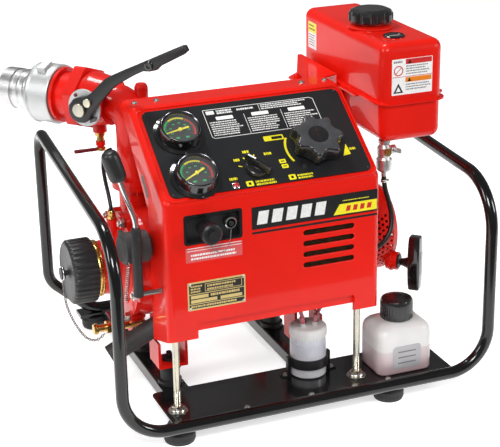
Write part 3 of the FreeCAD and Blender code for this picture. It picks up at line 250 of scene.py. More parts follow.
panel_white = material("panel_white", (0.52, 0.50, 0.52), rough=0.34, vary=0.04, vary_scale=60, subsurface=0.2,
                       bump=0.08, bump_scale=700)
jar_shell = material("jar_shell", (0.78, 0.78, 0.80), rough=0.28, vary=0.04, vary_scale=30, subsurface=0.3, bump=0.08,
                     bump_scale=500, coat=0.3,
                     bands=("Z", [(0.040, (0.96, 0.95, 0.95)), (0.092, (0.80, 0.79, 0.84)), (0.108, (0.76, 0.76, 0.84)),
                                  (0.125, (1, 1, 1))]))
ink_white = material("ink_white", (0.93, 0.93, 0.92), rough=0.45, vary=0.05, vary_scale=200, bump=0.05)
ink_silver = material("ink_silver", (0.85, 0.85, 0.83), rough=0.40, metallic=0.0, vary=0.08, vary_scale=200, bump=0.05)
ink_yellow = material("ink_yellow", (0.95, 0.83, 0.02), rough=0.40, vary=0.06, vary_scale=150, bump=0.05)
ink_green = material("ink_green", (0.01, 0.50, 0.12), rough=0.40, vary=0.08, vary_scale=150, bump=0.05)
ink_red = material("ink_red", (0.62, 0.02, 0.02), rough=0.40, vary=0.08, vary_scale=150, bump=0.05)
ink_orange = material("ink_orange", (0.85, 0.24, 0.01), rough=0.40, vary=0.06, vary_scale=150, bump=0.05)
ink_black = material("ink_black", (0.008, 0.008, 0.009), rough=0.35, vary=0.2, vary_scale=90, bump=0.06)
ink_pink = material("ink_pink", (0.72, 0.10, 0.10), rough=0.35, coat=0.4, vary=0.08, vary_scale=60, bump=0.05)
ink_grey = material("ink_grey", (0.20, 0.20, 0.20), rough=0.5, vary=0.1, vary_scale=150, bump=0.05)
gold = material("gold", (0.72, 0.56, 0.22), rough=0.42, metallic=0.35, vary=0.10, vary_scale=60, bump=0.08,
                bump_scale=900)
mesh_bronze = material("mesh_bronze", (0.085, 0.055, 0.028), rough=0.5, metallic=0.6, vary=0.4, vary_scale=90, bump=0.3,
                       bump_scale=700)
dial_black = material("dial_black", (0.006, 0.010, 0.008), rough=0.5, vary=0.2, vary_scale=60, bump=0.04)
knob_top = material("knob_top", (0.055, 0.056, 0.060), rough=0.42, specular=0.5, vary=0.15, vary_scale=60, bump=0.12,
                    bump_scale=1400)
bezel = material("bezel", (0.16, 0.16, 0.17), rough=0.22, metallic=1.0, vary=0.08, vary_scale=60)
chain_grey = material("chain_grey", (0.30, 0.29, 0.28), rough=0.32, metallic=1.0, vary=0.2, vary_scale=300)
lamp_red = material("lamp_red", (0.60, 0.03, 0.04), rough=0.15, coat=0.8, vary=0.1, vary_scale=300, bump=0.05)

NODE_MATERIALS = {
    "frame_tube": black_paint, "base_plate": black_plate, "engine_rails": black_plate, "rubber_feet": rubber,
    "rubber_mounts": rubber, "engine_feet": red_cast, "cover_stays": zinc, "control_cover": red_paint,
    "control_panel": panel_coat, "pressure_gauge_case": gloss_plastic, "suction_gauge_case": gloss_plastic,
    "pressure_needle": ink_yellow, "suction_needle": ink_yellow, "gauge_glasses": glass,
    "socket_plate": black_plastic, "socket_cap": soft_grip, "screws_and_bolts": steel, "tank_upper_shell": red_paint,
    "tank_lower_shell": red_paint, "tank_bracket": red_paint, "fuel_cap": knob_plastic, "petcock": aluminium,
    "petcock_lever": aluminium, "fuel_hose": hose_black, "crankcase": cast_grey, "cylinder": cast_grey,
    "drive_shaft": steel, "carburettor": aluminium, "air_cleaner": black_plastic, "silencer": pipe_grey,
    "fan_housing": cast_grey, "flywheel_fan": cast_grey, "starter_housing": red_paint,
    "starter_pulley": black_plastic, "starter_grip": soft_grip, "pump_casing": red_cast, "suction_neck": red_cast,
    "impeller": aluminium, "suction_cap": black_plastic, "cap_swivel": black_plastic, "drain_cock": brass,
    "delivery_elbow": red_cast, "valve_body": red_cast, "valve_ball": chrome, "coupling_ring": satin_silver,
    "hose_tail": aluminium, "cock_handle": dark_red, "priming_hose": hose_black, "vacuum_pump": pipe_grey,
    "bottle_cap": knob_plastic, "canister": jar_shell, "canister_lid": white_plastic, "canister_holder": black_plastic,
    "canister_tubes": pink_vinyl,
}
for node_name, node_material in NODE_MATERIALS.items():
    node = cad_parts[node_name]
    if not node.material_slots:
        node.data.materials.append(node_material)
    for used in node.material_slots:
        used.material = node_material

# ---------------------------------------------------------------- mesh tools


class Build:
    """Collects mesh parts given in local millimetres and makes one piece of them."""

    def __init__(self):
        self.mesh = bmesh.new()
        self.materials = []

    def index(self, mat):
        if mat not in self.materials:
            self.materials.append(mat)
        return self.materials.index(mat)

    def face(self, verts, mat):
        try:
            made = self.mesh.faces.new(verts)
        except ValueError:
            return
        made.material_index = self.index(mat)
        made.smooth = True

    def ring_points(self, frame_matrix, points):
        return [self.mesh.verts.new(frame_matrix @ Vector(point)) for point in points]

    def loft(self, frame_matrix, rings, mat, closed=False, caps=True):
        """Skin between rings of equal point counts, each a list of local points."""
        rows = [self.ring_points(frame_matrix, ring) for ring in rings]
        count = len(rows[0])
        pairs = list(zip(rows, rows[1:]))
        if closed:
            pairs.append((rows[-1], rows[0]))
        for low, high in pairs:
            for i in range(count):
                j = (i + 1) % count
                self.face((low[i], low[j], high[j], high[i]), mat)
        if caps and not closed:
            self.face(list(reversed(rows[0])), mat)
            self.face(rows[-1], mat)

    def lathe(self, frame_matrix, profile, mat, segments=48, closed=False, start=0.0):
        """Turned solid from (radius, height) pairs; closed joins the last pair to the first."""
        rows = []
        for radius, height in profile:
            if radius < 1e-6:
                rows.append([self.mesh.verts.new(frame_matrix @ Vector((0, 0, height)))])
            else:
                rows.append([self.mesh.verts.new(frame_matrix @ Vector((
                    radius * math.cos(start + 2 * math.pi * i / segments),
                    radius * math.sin(start + 2 * math.pi * i / segments), height))) for i in range(segments)])
        pairs = list(zip(rows, rows[1:]))
        if closed:
            pairs.append((rows[-1], rows[0]))
        for low, high in pairs:
            for i in range(segments):
                j = (i + 1) % segments
                if len(low) == 1 and len(high) > 1:
                    self.face((low[0], high[j], high[i]), mat)
                elif len(high) == 1 and len(low) > 1:
                    self.face((low[i], low[j], high[0]), mat)
                elif len(low) > 1:
                    self.face((low[i], low[j], high[j], high[i]), mat)

    def prism(self, frame_matrix, outline, low, high, mat):
        bottom = [self.mesh.verts.new(frame_matrix @ Vector((x, y, low))) for x, y in outline]
        top = [self.mesh.verts.new(frame_matrix @ Vector((x, y, high))) for x, y in outline]
        count = len(outline)
        for i in range(count):
            j = (i + 1) % count
            self.face((bottom[i], bottom[j], top[j], top[i]), mat)
        self.face(list(reversed(bottom)), mat)
        self.face(top, mat)

    def box(self, frame_matrix, x0, x1, y0, y1, low, high, mat):
        self.prism(frame_matrix, [(x0, y0), (x1, y0), (x1, y1), (x0, y1)], low, high, mat)

    def sector(self, frame_matrix, inner, outer, start, end, low, high, mat, steps=24):
        """Flat arc band; angles in degrees, anticlockwise from local +x."""
        angles = [math.radians(start + (end - start) * i / steps) for i in range(steps + 1)]
        outline = [(outer * math.cos(a), outer * math.sin(a)) for a in angles]
        outline += [(inner * math.cos(a), inner * math.sin(a)) for a in reversed(angles)]
        rows = []
        for i in range(steps + 1):
            a = angles[i]
            rows.append([self.mesh.verts.new(frame_matrix @ Vector((r * math.cos(a), r * math.sin(a), h)))
                         for r, h in ((inner, low), (outer, low), (outer, high), (inner, high))])
        for first, second in zip(rows, rows[1:]):
            for i in range(4):
                j = (i + 1) % 4
                self.face((first[i], first[j], second[j], second[i]), mat)
        self.face(list(reversed(rows[0])), mat)
        self.face(rows[-1], mat)

    def sweep(self, points, radius, mat, segments=10, closed=False):
        """Round bar along points of the row frame, in metres; the radius is in millimetres."""
        count = len(points)
        tangents = []
        for i in range(count):
            before = points[(i - 1) % count] if closed or i else points[0]
            after = points[(i + 1) % count] if closed or i < count - 1 else points[-1]
            tangents.append((after - before).normalized())
        side = tangents[0].orthogonal().normalized()
        rows = []
        for point, tangent in zip(points, tangents):
            side = (side - tangent * side.dot(tangent)).normalized()
            other = tangent.cross(side)
            rows.append([self.mesh.verts.new(point + (side * math.cos(2 * math.pi * k / segments)
                                                      + other * math.sin(2 * math.pi * k / segments)) * radius * MM)
                         for k in range(segments)])
        pairs = list(zip(rows, rows[1:]))
        if closed:
            pairs.append((rows[-1], rows[0]))
        for low, high in pairs:
            for i in range(segments):
                j = (i + 1) % segments
                self.face((low[i], low[j], high[j], high[i]), mat)
        if not closed:
            self.face(list(reversed(rows[0])), mat)
            self.face(rows[-1], mat)

    def finish(self, name, body=BASE, slot=None, replaces=(), bevel=0.0, bevel_segments=2, sharp=38, subdivide=0):
        bmesh.ops.recalc_face_normals(self.mesh, faces=self.mesh.faces)
        data = bpy.data.meshes.new(name)
        self.mesh.to_mesh(data)
        self.mesh.free()
        for mat in self.materials:
            data.materials.append(mat)
        piece = bpy.data.objects.new(name, data)
        bpy.context.scene.collection.objects.link(piece)
        if bevel:
            edge = piece.modifiers.new("edges", "BEVEL")
            edge.width = bevel * MM
            edge.segments = bevel_segments
            edge.limit_method = "ANGLE"
            edge.angle_limit = math.radians(40)
            edge.harden_normals = False
        if subdivide:
            smooth = piece.modifiers.new("smooth", "SUBSURF")
            smooth.levels = subdivide
            smooth.render_levels = subdivide
        data.set_sharp_from_angle(angle=math.radians(sharp))
        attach(piece, body)
        if replaces:
            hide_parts(*replaces)
        return piece


def rounded_rectangle(width, depth, radius, steps=5, x=0.0, y=0.0):
    points = []
    for corner, (sx, sy) in enumerate(((1, 1), (-1, 1), (-1, -1), (1, -1))):
        for i in range(steps + 1):
            a = math.radians(90 * corner + 90 * i / steps)
            points.append((x + sx * (width / 2 - radius) + radius * math.cos(a),
                           y + sy * (depth / 2 - radius) + radius * math.sin(a)))
    return points


def smooth_path(points, steps=8, closed=False):
    """Catmull-Rom line through points of the machine frame, given back in the row frame."""
    points = [place(point) for point in points]
    line = []
    count = len(points)
    for i in range(count - 1):
        p0 = points[max(0, i - 1)]
        p1, p2 = points[i], points[i + 1]
        p3 = points[min(count - 1, i + 2)]
        for k in range(steps):
            t = k / steps
            line.append(0.5 * ((2 * p1) + (p2 - p0) * t + (2 * p0 - 5 * p1 + 4 * p2 - p3) * t * t
                               + (3 * p1 - p0 - 3 * p2 + p3) * t ** 3))
    line.append(points[-1])
    return line


def even_points(line, pitch):
    """Points every pitch metres along a line."""
    found = [line[0]]
    carried = 0.0
    for first, second in zip(line, line[1:]):
        step = (second - first).length
        while carried + step >= pitch:
            ratio = (pitch - carried) / step
            first = first.lerp(second, ratio)
            step = (second - first).length
            carried = 0.0
            found.append(first.copy())
        carried += step
    return found


def hex_outline(radius, turn=0.0):
    return [(radius * math.cos(math.radians(60 * i + turn)), radius * math.sin(math.radians(60 * i + turn)))
            for i in range(6)]


def bolt(build, frame_matrix, radius, height, mat, socket=False):
    """Hexagon head with a chamfered crown and a washer."""
    build.lathe(frame_matrix, [(0, 0), (radius * 1.45, 0), (radius * 1.5, 0.3), (radius * 1.45, 0.9), (radius, 1.0)], mat, 28)
    build.prism(frame_matrix, hex_outline(radius * 1.12), 0.8, height * 0.8, mat)
    build.lathe(frame_matrix, [(radius * 1.08, height * 0.75), (radius * 0.95, height), (radius * 0.55, height * 1.02),
                               (0, height * 1.02)], mat, 28)


def text_rows(build, frame_matrix, x0, x1, y_top, rows, pitch, size, mat, rng, low, high, fill=0.9):
    """Rows of short plain dashes that stand for lines of print."""
    for row in range(rows):
        x = x0
        end = x0 + (x1 - x0) * rng.uniform(fill - 0.25, fill)
        y = y_top - row * pitch
        while x < end:
            length = rng.uniform(1.2, 4.5)
            build.box(frame_matrix, x, min(x + length, end), y - size, y, low, high, mat)
            x += length + rng.uniform(0.6, 1.2)


# ---------------------------------------------------------------- camera, light and stage

camera_data = bpy.data.cameras.new("camera")
camera_data.lens = 106.26
camera_data.sensor_width = 36.0
camera_data.clip_end = 50.0
camera = bpy.data.objects.new("camera", camera_data)
bpy.context.scene.collection.objects.link(camera)
bpy.context.scene.camera = camera
YAW, PITCH, ROLL = math.radians(21.317), math.radians(20.633), math.radians(-1.092)
look = Vector((math.sin(YAW) * math.cos(PITCH), math.cos(YAW) * math.cos(PITCH), -math.sin(PITCH)))
right = Vector((math.cos(YAW), -math.sin(YAW), 0))
above = right.cross(look)
turned_right = right * math.cos(ROLL) + above * math.sin(ROLL)
turned_up = above * math.cos(ROLL) - right * math.sin(ROLL)
axes = Matrix((turned_right, turned_up, -look)).transposed().to_4x4()
camera.matrix_world = Matrix.Translation(place((-955.6, -2153.0, 1266.2))) @ axes


def area_light(name, position, target, width, height, power, color=(1, 1, 1)):
    data = bpy.data.lights.new(name, "AREA")
    data.shape = "RECTANGLE"
    data.size = width
    data.size_y = height
    data.energy = power
    data.color = color
    lamp = bpy.data.objects.new(name, data)
    lamp.location = position
    lamp.rotation_euler = (Vector(target) - Vector(position)).to_track_quat("-Z", "Y").to_euler()
    bpy.context.scene.collection.objects.link(lamp)


area_light("key", (-1.3, -2.6, 2.5), (0, 0, 0.3), 0.9, 0.9, 62)
area_light("fill", (2.5, -2.0, 1.5), (0, 0, 0.3), 0.7, 0.9, 36)
area_light("top", (-0.5, 1.1, 3.0), (0, 0, 0.3), 0.7, 0.7, 46)
area_light("left", (-2.9, -0.5, 1.9), (0, 0, 0.3), 0.6, 1.2, 28)

world = bpy.data.worlds.new("studio")
world.use_nodes = True
world.node_tree.nodes["Background"].inputs["Color"].default_value = (1, 1, 1, 1)
world.node_tree.nodes["Background"].inputs["Strength"].default_value = 0.17
bpy.context.scene.world = world
bpy.context.scene.view_settings.view_transform = "Standard"

floor_material = material("floor", (0.90, 0.90, 0.90), rough=0.7, vary=0.01, vary_scale=2, specular=0.1, bump=0.02,
                          bump_scale=60)
floor_shader = floor_material.node_tree.nodes["Principled BSDF"]
floor_shader.inputs["Emission Color"].default_value = (1, 1, 1, 1)
floor_shader.inputs["Emission Strength"].default_value = 0.62
floor = Build()
floor_outline = [(-9, -0.75), (9, -0.75), (9, 14), (-9, 14)]
floor.loft(Matrix.Identity(4), [[(x, y, 0) for x, y in floor_outline], [(x, y, -0.02) for x, y in floor_outline]],
           floor_material)
floor_data = bpy.data.meshes.new("floor")
floor.mesh.to_mesh(floor_data)
floor_data.materials.append(floor_material)
floor_piece = bpy.data.objects.new("floor", floor_data)
bpy.context.scene.collection.objects.link(floor_piece)

# ---------------------------------------------------------------- control panel

PRESSURE_GAUGE = (-181.0, 131.0)
SUCTION_GAUGE = (-180.0, 36.0)
SELECTOR = (-69.0, 37.0)
THROTTLE = (50.0, 66.0)
LAMP = (-116.0, 8.0)


def gauge_dial(name, spot, seed):
    rng = random.Random(seed)
    dial = Build()
    m = panel(spot[0], spot[1], 2.1)
    dial.lathe(m, [(0, 12.03), (31.2, 12.03), (31.2, 12.2), (0, 12.2)], dial_black, 56)
    dial.sector(m, 25.2, 28.6, 128, 215, 12.2, 12.27, ink_green)
    dial.sector(m, 25.2, 28.6, 62, 126, 12.2, 12.27, ink_yellow)
    dial.sector(m, 25.2, 28.6, -28, 60, 12.2, 12.27, ink_red)
    for i in range(25):
        a = 215 - i * 243 / 24
        length = 3.4 if i % 4 == 0 else 1.8
        dial.sector(m, 24.4 - length, 24.4, a - 0.9, a + 0.9, 12.2, 12.26, ink_green if i < 20 else ink_red, 1)
    for i in range(6):
        a = math.radians(200 - i * 40)
        for k in range(2):
            x = 16.2 * math.cos(a) - 2.4 + k * 2.6
            y = 16.2 * math.sin(a)
            dial.box(m, x, x + 1.7, y - 1.4, y + 1.4, 12.2, 12.25, ink_green)
    for x in (-11, 6.5):
        dial.box(m, x, x + 6, -17.5, -14.2, 12.2, 12.25, ink_green)
    dial.finish(name, slot="gloss_black")
    ring = Build()
    ring.lathe(m, [(31.3, 20.2), (33.2, 23.2), (33.9, 24.15), (34.6, 24.3), (34.0, 24.6), (32.8, 23.9), (30.9, 20.4)],
               bezel, 96, closed=True)
    ring.finish(name + "_ring", slot="chrome")
    screws = Build()
    for i in range(3):
        a = math.radians(-90 + 120 * i)
        f = m @ Matrix.Translation((42 * math.cos(a), 42 * math.sin(a), 0.9))
        screws.lathe(f, [(0, 0), (2.6, 0), (2.6, 1.6), (1.6, 2.6), (0, 2.9)], gloss_plastic, 20)
        screws.box(f, -2.0, 2.0, -0.3, 0.3, 2.5, 3.0, steel)
    screws.finish(name + "_screws", slot="steel")
    return rng


gauge_dial("pressure_dial", PRESSURE_GAUGE, 1)
gauge_dial("suction_dial", SUCTION_GAUGE, 2)

for label, spot, body, turn in (("pressure", PRESSURE_GAUGE, "pressure_pointer", 102), ("suction", SUCTION_GAUGE, "suction_pointer", 117)):
    hub = Build()
    hub.lathe(panel(spot[0], spot[1], 2.1), [(0, 14.9), (3.6, 14.9), (3.6, 16.1), (2.6, 16.9), (0, 17.1)], ink_yellow, 28)
    hub.finish(label + "_needle_hub", body=body, slot="needle_yellow")

# printed table, arcs and marks on the panel
rng = random.Random(7)
ink = Build()
P0 = panel(0, 0)
LOW, HIGH = 0.0, 0.16
outline = [(-124, 176), (80, 176), (86, 172), (86, 122), (82, 118), (26, 112.5), (-120, 112.5), (-124, 116)]
for (x1, y1), (x2, y2) in zip(outline, outline[1:] + outline[:1]):
    run = Vector((x2 - x1, y2 - y1, 0))
    side = Vector((-run.y, run.x, 0)).normalized() * 0.55
    corners = [(x1 + side.x, y1 + side.y), (x1 - side.x, y1 - side.y), (x2 - side.x, y2 - side.y), (x2 + side.x, y2 + side.y)]
    ink.prism(P0, corners, LOW, HIGH, ink_silver)
for x in (-52, 18):
    ink.box(P0, x - 0.4, x + 0.4, 114, 158, LOW, HIGH, ink_silver)
ink.box(P0, -20, -19.2, 158, 175, LOW, HIGH, ink_silver)
ink.prism(P0, rounded_rectangle(15, 8, 1.5, x=-112, y=169), LOW, HIGH, ink_silver)
text_rows(ink, P0, -100, -66, 173, 2, 5.0, 3.6, ink_silver, rng, LOW, HIGH, 1.0)
text_rows(ink, P0, -62, -24, 171, 1, 5.0, 3.8, ink_silver, rng, LOW, HIGH, 1.0)
text_rows(ink, P0, -16, 78, 173.5, 3, 4.2, 2.4, ink_silver, rng, LOW, HIGH, 1.0)
for x in (-105, -38, 32):
    ink.prism(P0, rounded_rectangle(32, 7.5, 1.2, x=x + 16, y=155), LOW, HIGH, ink_white)
for x in (-119, -48, 22):
    text_rows(ink, P0, x, x + 62, 148, 7, 4.7, 2.3, ink_silver, rng, LOW, HIGH, 1.0)
arc_frame = panel(THROTTLE[0], THROTTLE[1])
ink.sector(arc_frame, 50, 54, 148, 208, LOW, HIGH, ink_yellow)
ink.prism(P0, rounded_rectangle(37, 11, 2, x=-16, y=97), LOW, HIGH, ink_yellow)
ink.prism(P0, rounded_rectangle(20, 6, 1, x=-10, y=97), HIGH, HIGH + 0.05, ink_black)
ink.prism(P0, [(97, 38), (112, 40), (110, 63)], LOW, HIGH, ink_yellow)
text_rows(ink, P0, 113, 127, 53.5, 1, 4, 5.0, ink_yellow, rng, LOW, HIGH, 1.0)
for x, y in ((-17, 45), (-16, 34)):
    ink.prism(P0, rounded_rectangle(12, 8.5, 1.5, x=x, y=y), LOW, HIGH, ink_yellow)
    ink.box(P0, x - 3.5, x + 3.5, y - 1.0, y + 1.0, HIGH, HIGH + 0.05, ink_black)
for x, y, width in ((-90, 8, 13), (-11, 9, 13)):
    ink.prism(P0, rounded_rectangle(width, 11, 2, x=x, y=y), LOW, HIGH, ink_yellow)
    ink.box(P0, x - 2.4, x + 2.4, y - 2.6, y + 2.6, HIGH, HIGH + 0.05, ink_black)
text_rows(ink, P0, -79, -40, 12, 2, 6.0, 4.0, ink_yellow, rng, LOW, HIGH, 1.0)
text_rows(ink, P0, -1, 33, 12.5, 2, 5.6, 3.6, ink_yellow, rng, LOW, HIGH, 1.0)
for x, y, width in ((-103, 63, 14), (-82, 78, 12), (-45, 68, 14), (-123, 25, 18)):
    text_rows(ink, P0, x, x + width, y, 1, 5, 5.2, ink_yellow, rng, LOW, HIGH, 1.0)
for turn in (80, 120, 160):
    ink.sector(panel(SELECTOR[0], SELECTOR[1]), 24, 31, turn - 2, turn + 2, LOW, HIGH, ink_yellow, 2)
ink.finish("panel_marks", slot="needle_yellow")

bead = Build()
corner = []
for x, y in rounded_rectangle(388, 203, 15, 6, x=-47.5, y=94.5):
    corner.append((panel(x, y, 0.3)) @ Vector((0, 0, 0)))
bead.sweep(corner, 1.7, red_paint, 10, closed=True)
bead.finish("panel_bead", slot="fire_red", sharp=80)

dot = Build()
dot.lathe(panel(108, 88), [(0, 0), (4.2, 0), (4.2, 1.2), (3.0, 2.2), (0, 2.6)], lamp_red, 24)
dot.finish("panel_red_dot", slot="red_handle")

lamp = Build()
m = panel(LAMP[0], LAMP[1])
lamp.lathe(m, [(3.9, -6), (3.9, 0.0), (7.6, 0.0), (7.6, 1.2), (6.4, 2.4), (5.6, 2.6), (5.3, 1.4), (3.2, 1.2), (3.2, -6)], chrome, 32,
           closed=True)
lamp.lathe(m, [(0, 1.0), (5.2, 1.1), (5.1, 2.6), (3.6, 4.0), (0, 4.6)], lamp_red, 28)
lamp.finish("indicator_lamp", slot="red_handle")

# lobed throttle knob
knob = Build()
m = panel(THROTTLE[0], THROTTLE[1], 2.05)
COUNT = 210


def lobed_ring(height, scale, lobing, inner=None):
    points = []
    for i in range(COUNT):
        a = 2 * math.pi * i / COUNT
        wave = 0.5 + 0.5 * math.cos(7 * a + 0.5)
        lobed = 36.5 + 11.2 * wave ** 1.5
        radius = scale * ((1 - lobing) * 41.0 + lobing * lobed) if inner is None else inner
        points.append((radius * math.cos(a), radius * math.sin(a), height))
    return points


rings = [lobed_ring(1.0, 0, 0, 16), lobed_ring(1.0, 0.60, 0), lobed_ring(2.6, 0.66, 0.0), lobed_ring(5.0, 0.80, 0.05),
         lobed_ring(7.0, 0.93, 0.2), lobed_ring(9.0, 0.985, 0.55), lobed_ring(11.5, 1.0, 0.9), lobed_ring(16, 1.0, 1),
         lobed_ring(28, 1.0, 1), lobed_ring(32.0, 0.99, 1), lobed_ring(34.4, 0.965, 1), lobed_ring(35.9, 0.92, 0.98),
         lobed_ring(36.4, 0.86, 0.9), lobed_ring(36.5, 0, 0, 20), lobed_ring(36.0, 0, 0, 18.4), lobed_ring(33.5, 0, 0, 17.6),
         lobed_ring(29.0, 0, 0, 17.2), lobed_ring(28.4, 0, 0, 16)]
knob.loft(m, rings[:12], knob_plastic)
knob.loft(m, rings[11:], knob_top, caps=False)
knob.lathe(m, [(16.0, 28.4), (9, 27.0), (0, 26.6)], ink_black, 36)
knob.lathe(m, [(0, -17.5), (5.8, -17.5), (5.8, 1.2), (0, 1.2)], steel, 24)
knob.finish("throttle_lobes", body="throttle", slot="black_plastic", replaces=["throttle_knob"], sharp=50)

# selector with a bar grip and a white pointer
selector = Build()
m = panel(SELECTOR[0], SELECTOR[1], 2.05, 45)
selector.lathe(m, [(0, -17), (4.8, -17), (4.8, 0.9), (19, 0.9), (20, 2.0), (19.6, 4.0), (18.4, 8), (15.6, 9.6), (0, 9.8)],
               knob_plastic, 56)
bar = [(-5.6, -24), (-3.6, -25.5), (3.6, -25.5), (5.6, -24), (5.0, 6), (3.6, 20), (2.2, 24.5), (-2.2, 24.5), (-3.6, 20), (-5.0, 6)]
selector.loft(m, [[(x, y, 9.0) for x, y in bar], [(x * 0.95, y, 14) for x, y in bar], [(x * 0.82, y * 0.985, 21.5) for x, y in bar],
                  [(x * 0.66, y * 0.95, 23.8) for x, y in bar], [(x * 0.4, y * 0.9, 24.3) for x, y in bar]], knob_plastic)
selector.box(m, -1.6, 1.6, 6, 21.5, 24.2, 24.55, ink_white)
selector.finish("selector_grip", body="selector", slot="black_plastic", replaces=["selector_knob"], bevel=0.5, sharp=45)

# panel corner screws
rivets = Build()
for x, y in ((-228, 6), (133, 6), (-228, 183), (133, 183)):
    f = panel(x, y)
    rivets.lathe(f, [(0, 0), (2.6, 0), (2.5, 0.8), (1.6, 1.5), (0, 1.7)], black_plastic, 20)
rivets.finish("panel_rivets", slot="black_plastic")

# ---------------------------------------------------------------- front face

FACE = local((0, 48.6, 0), FRONT, (1, 0, 0))   # local x = X, local y = Z, local z = outwards


def face_box(build, x0, x1, z0, z1, low, high, mat):
    build.box(FACE, x0, x1, z0, z1, low, high, mat)


badge = Build()
badge.prism(FACE, rounded_rectangle(238.6, 40.6, 1.5, x=26.4, y=384), -0.35, 0.45, ink_black)
for i in range(5):
    x = -84 + i * 27
    badge.prism(FACE, [(x, 372), (x + 19, 372), (x + 23, 396), (x + 4, 396)], 0.45, 0.6, ink_silver)
badge.prism(FACE, [(60.5, 367), (144.5, 367), (144.5, 386), (72, 386)], 0.45, 0.6, ink_yellow)
for i in range(4):
    x = 84 + i * 13.5
    badge.prism(FACE, [(x, 371.5), (x + 8, 371.5), (x + 10, 381.5), (x + 2, 381.5)], 0.6, 0.7, ink_red)
text_rows(badge, FACE, 78, 132, 392.5, 1, 3, 1.6, ink_yellow, rng, 0.45, 0.55, 1.0)
badge.finish("front_badge", slot="black_plate", bevel=0.15)

stripe = Build()
stripe.box(FACE, -93, 145.5, 355.2, 359.2, -0.02, 0.12, ink_black)
stripe.finish("front_stripe", slot="black_plate")

plate = Build()
plate.prism(FACE, rounded_rectangle(106, 52, 1.5, x=-160.5, y=259), 0.0, 0.9, gold)
for z0, z1 in ((236, 243.5), (245, 262), (263.5, 282)):
    plate.box(FACE, -211, -110, z0, z1, 0.9, 1.0, ink_black)
plate.box(FACE, -208, -160, 246.5, 252.5, 1.0, 1.12, gold)
plate.box(FACE, -208, -176, 254.5, 260.5, 1.0, 1.12, gold)
plate.box(FACE, -154, -114, 246.5, 252.5, 1.0, 1.12, gold)
plate.box(FACE, -182, -114, 265.5, 280, 1.0, 1.06, gold)
plate.box(FACE, -181, -115, 266.5, 279, 1.06, 1.1, ink_black)
text_rows(plate, FACE, -208, -186, 279, 3, 5.0, 3.0, gold, rng, 1.0, 1.1, 1.0)
text_rows(plate, FACE, -178, -118, 277, 2, 6.0, 3.4, gold, rng, 1.1, 1.2, 1.0)
text_rows(plate, FACE, -172, -113, 260, 1, 4.6, 4.4, gold, rng, 1.0, 1.1, 1.0)
text_rows(plate, FACE, -208, -113, 241.6, 1, 4.6, 3.4, gold, rng, 1.0, 1.1, 1.0)
for x in (-209.5, -111.5):
    for z in (236.5, 281.5):
        f = FACE @ Matrix.Translation((x, z, 0.9))
        plate.lathe(f, [(0, 0), (2.6, 0), (2.4, 1.0), (1.3, 1.8), (0, 2.0)], steel, 20)
plate.finish("rating_plate", slot="brass", bevel=0.12)

label = Build()
label.prism(FACE, rounded_rectangle(103, 27, 1, x=-163, y=335), 0.0, 0.14, ink_pink)
for z in (347, 342.4):
    label.box(FACE, -212, -113, z - 0.5, z + 0.5, 0.14, 0.2, ink_white)
text_rows(label, FACE, -205, -120, 336, 2, 6.5, 3.6, ink_white, rng, 0.14, 0.2, 1.0)
label.finish("socket_label", slot="fire_red")

frame_piece = Build()
outer = rounded_rectangle(106, 54, 5, 6, x=-163.6, y=380.5)
inner = rounded_rectangle(96, 46, 4, 6, x=-164, y=380.5)
rows = [[(x, y, 0.0) for x, y in outer], [(x, y, 0.5) for x, y in outer],
        [(x, y, 0.5) for x, y in inner], [(x, y, -4) for x, y in inner]]
frame_piece.loft(FACE, rows, gloss_plastic, caps=False)
frame_piece.finish("socket_frame", slot="gloss_black")

ring = Build()
f = local((-133, 46.5, 384.8), FRONT)
ring.lathe(f, [(7.7, 0), (9.9, 0), (10.6, 1), (10.6, 3), (9.6, 4.2), (8.2, 4.2), (7.7, 3)], chrome, 36, closed=True)
ring.lathe(local((-133, 50, 384.8), FRONT), [(0, 0), (4.5, 0), (4.5, 9), (3.6, 10), (0, 10)], black_plastic, 28)
ring.finish("small_socket_ring", slot="chrome")

# louvre backing: corrugated bronze screen seen through the slots
screen = Build()
f = local((52, 56, 311), FRONT, (1, 0, 0))
points = []
for i in range(97):
    points.append((-52 + i * 104 / 96, 1.6 if i % 2 else 0.0))
rows = [[(x, -38, z) for x, z in points] + [(x, -38, z - 1.0) for x, z in reversed(points)],
        [(x, 38, z) for x, z in points] + [(x, 38, z - 1.0) for x, z in reversed(points)]]
screen.loft(f, rows, mesh_bronze, caps=False)
for i in range(24):
    screen.box(f, -52, 52, -38 + i * 3.3, -37.3 + i * 3.3, 1.6, 2.3, mesh_bronze)
screen.finish("louvre_screen", slot="brass")

lips = Build()
for row in range(4):
    z = 282.0 + 20.2 * row
    rows = []
    for grow, out in ((0.0, -0.9), (0.35, 0.28), (1.5, 0.28), (1.9, 0.0)):
        rows.append([(x, y, out) for x, y in rounded_rectangle(98 + 2 * grow, 10 + 2 * grow, 4.95 + grow, 8, x=52, y=z)])
    lips.loft(FACE, rows, red_paint, caps=False)
lips.finish("louvre_lips", slot="fire_red")

# small hand slot on the left wall: a grey rim round a flat black inset, which is painted shade standing in for the
# slot's dark hollow
slot_piece = Build()
f = local((-250.05, 148, 434), LEFT, (0, math.cos(math.radians(47)), math.sin(math.radians(47))))
slot_piece.prism(f, rounded_rectangle(46, 13, 6.2, 8), 0.0, 0.7, ink_grey)
# black inset: painted shade in place of the slot's hollow
slot_piece.prism(f, rounded_rectangle(42, 9, 4.4, 8), 0.7, 0.9, ink_black)
slot_piece.finish("side_slot_rim_and_painted_shade", slot="black_plate", bevel=0.15)

# ---------------------------------------------------------------- fuel tank fittings

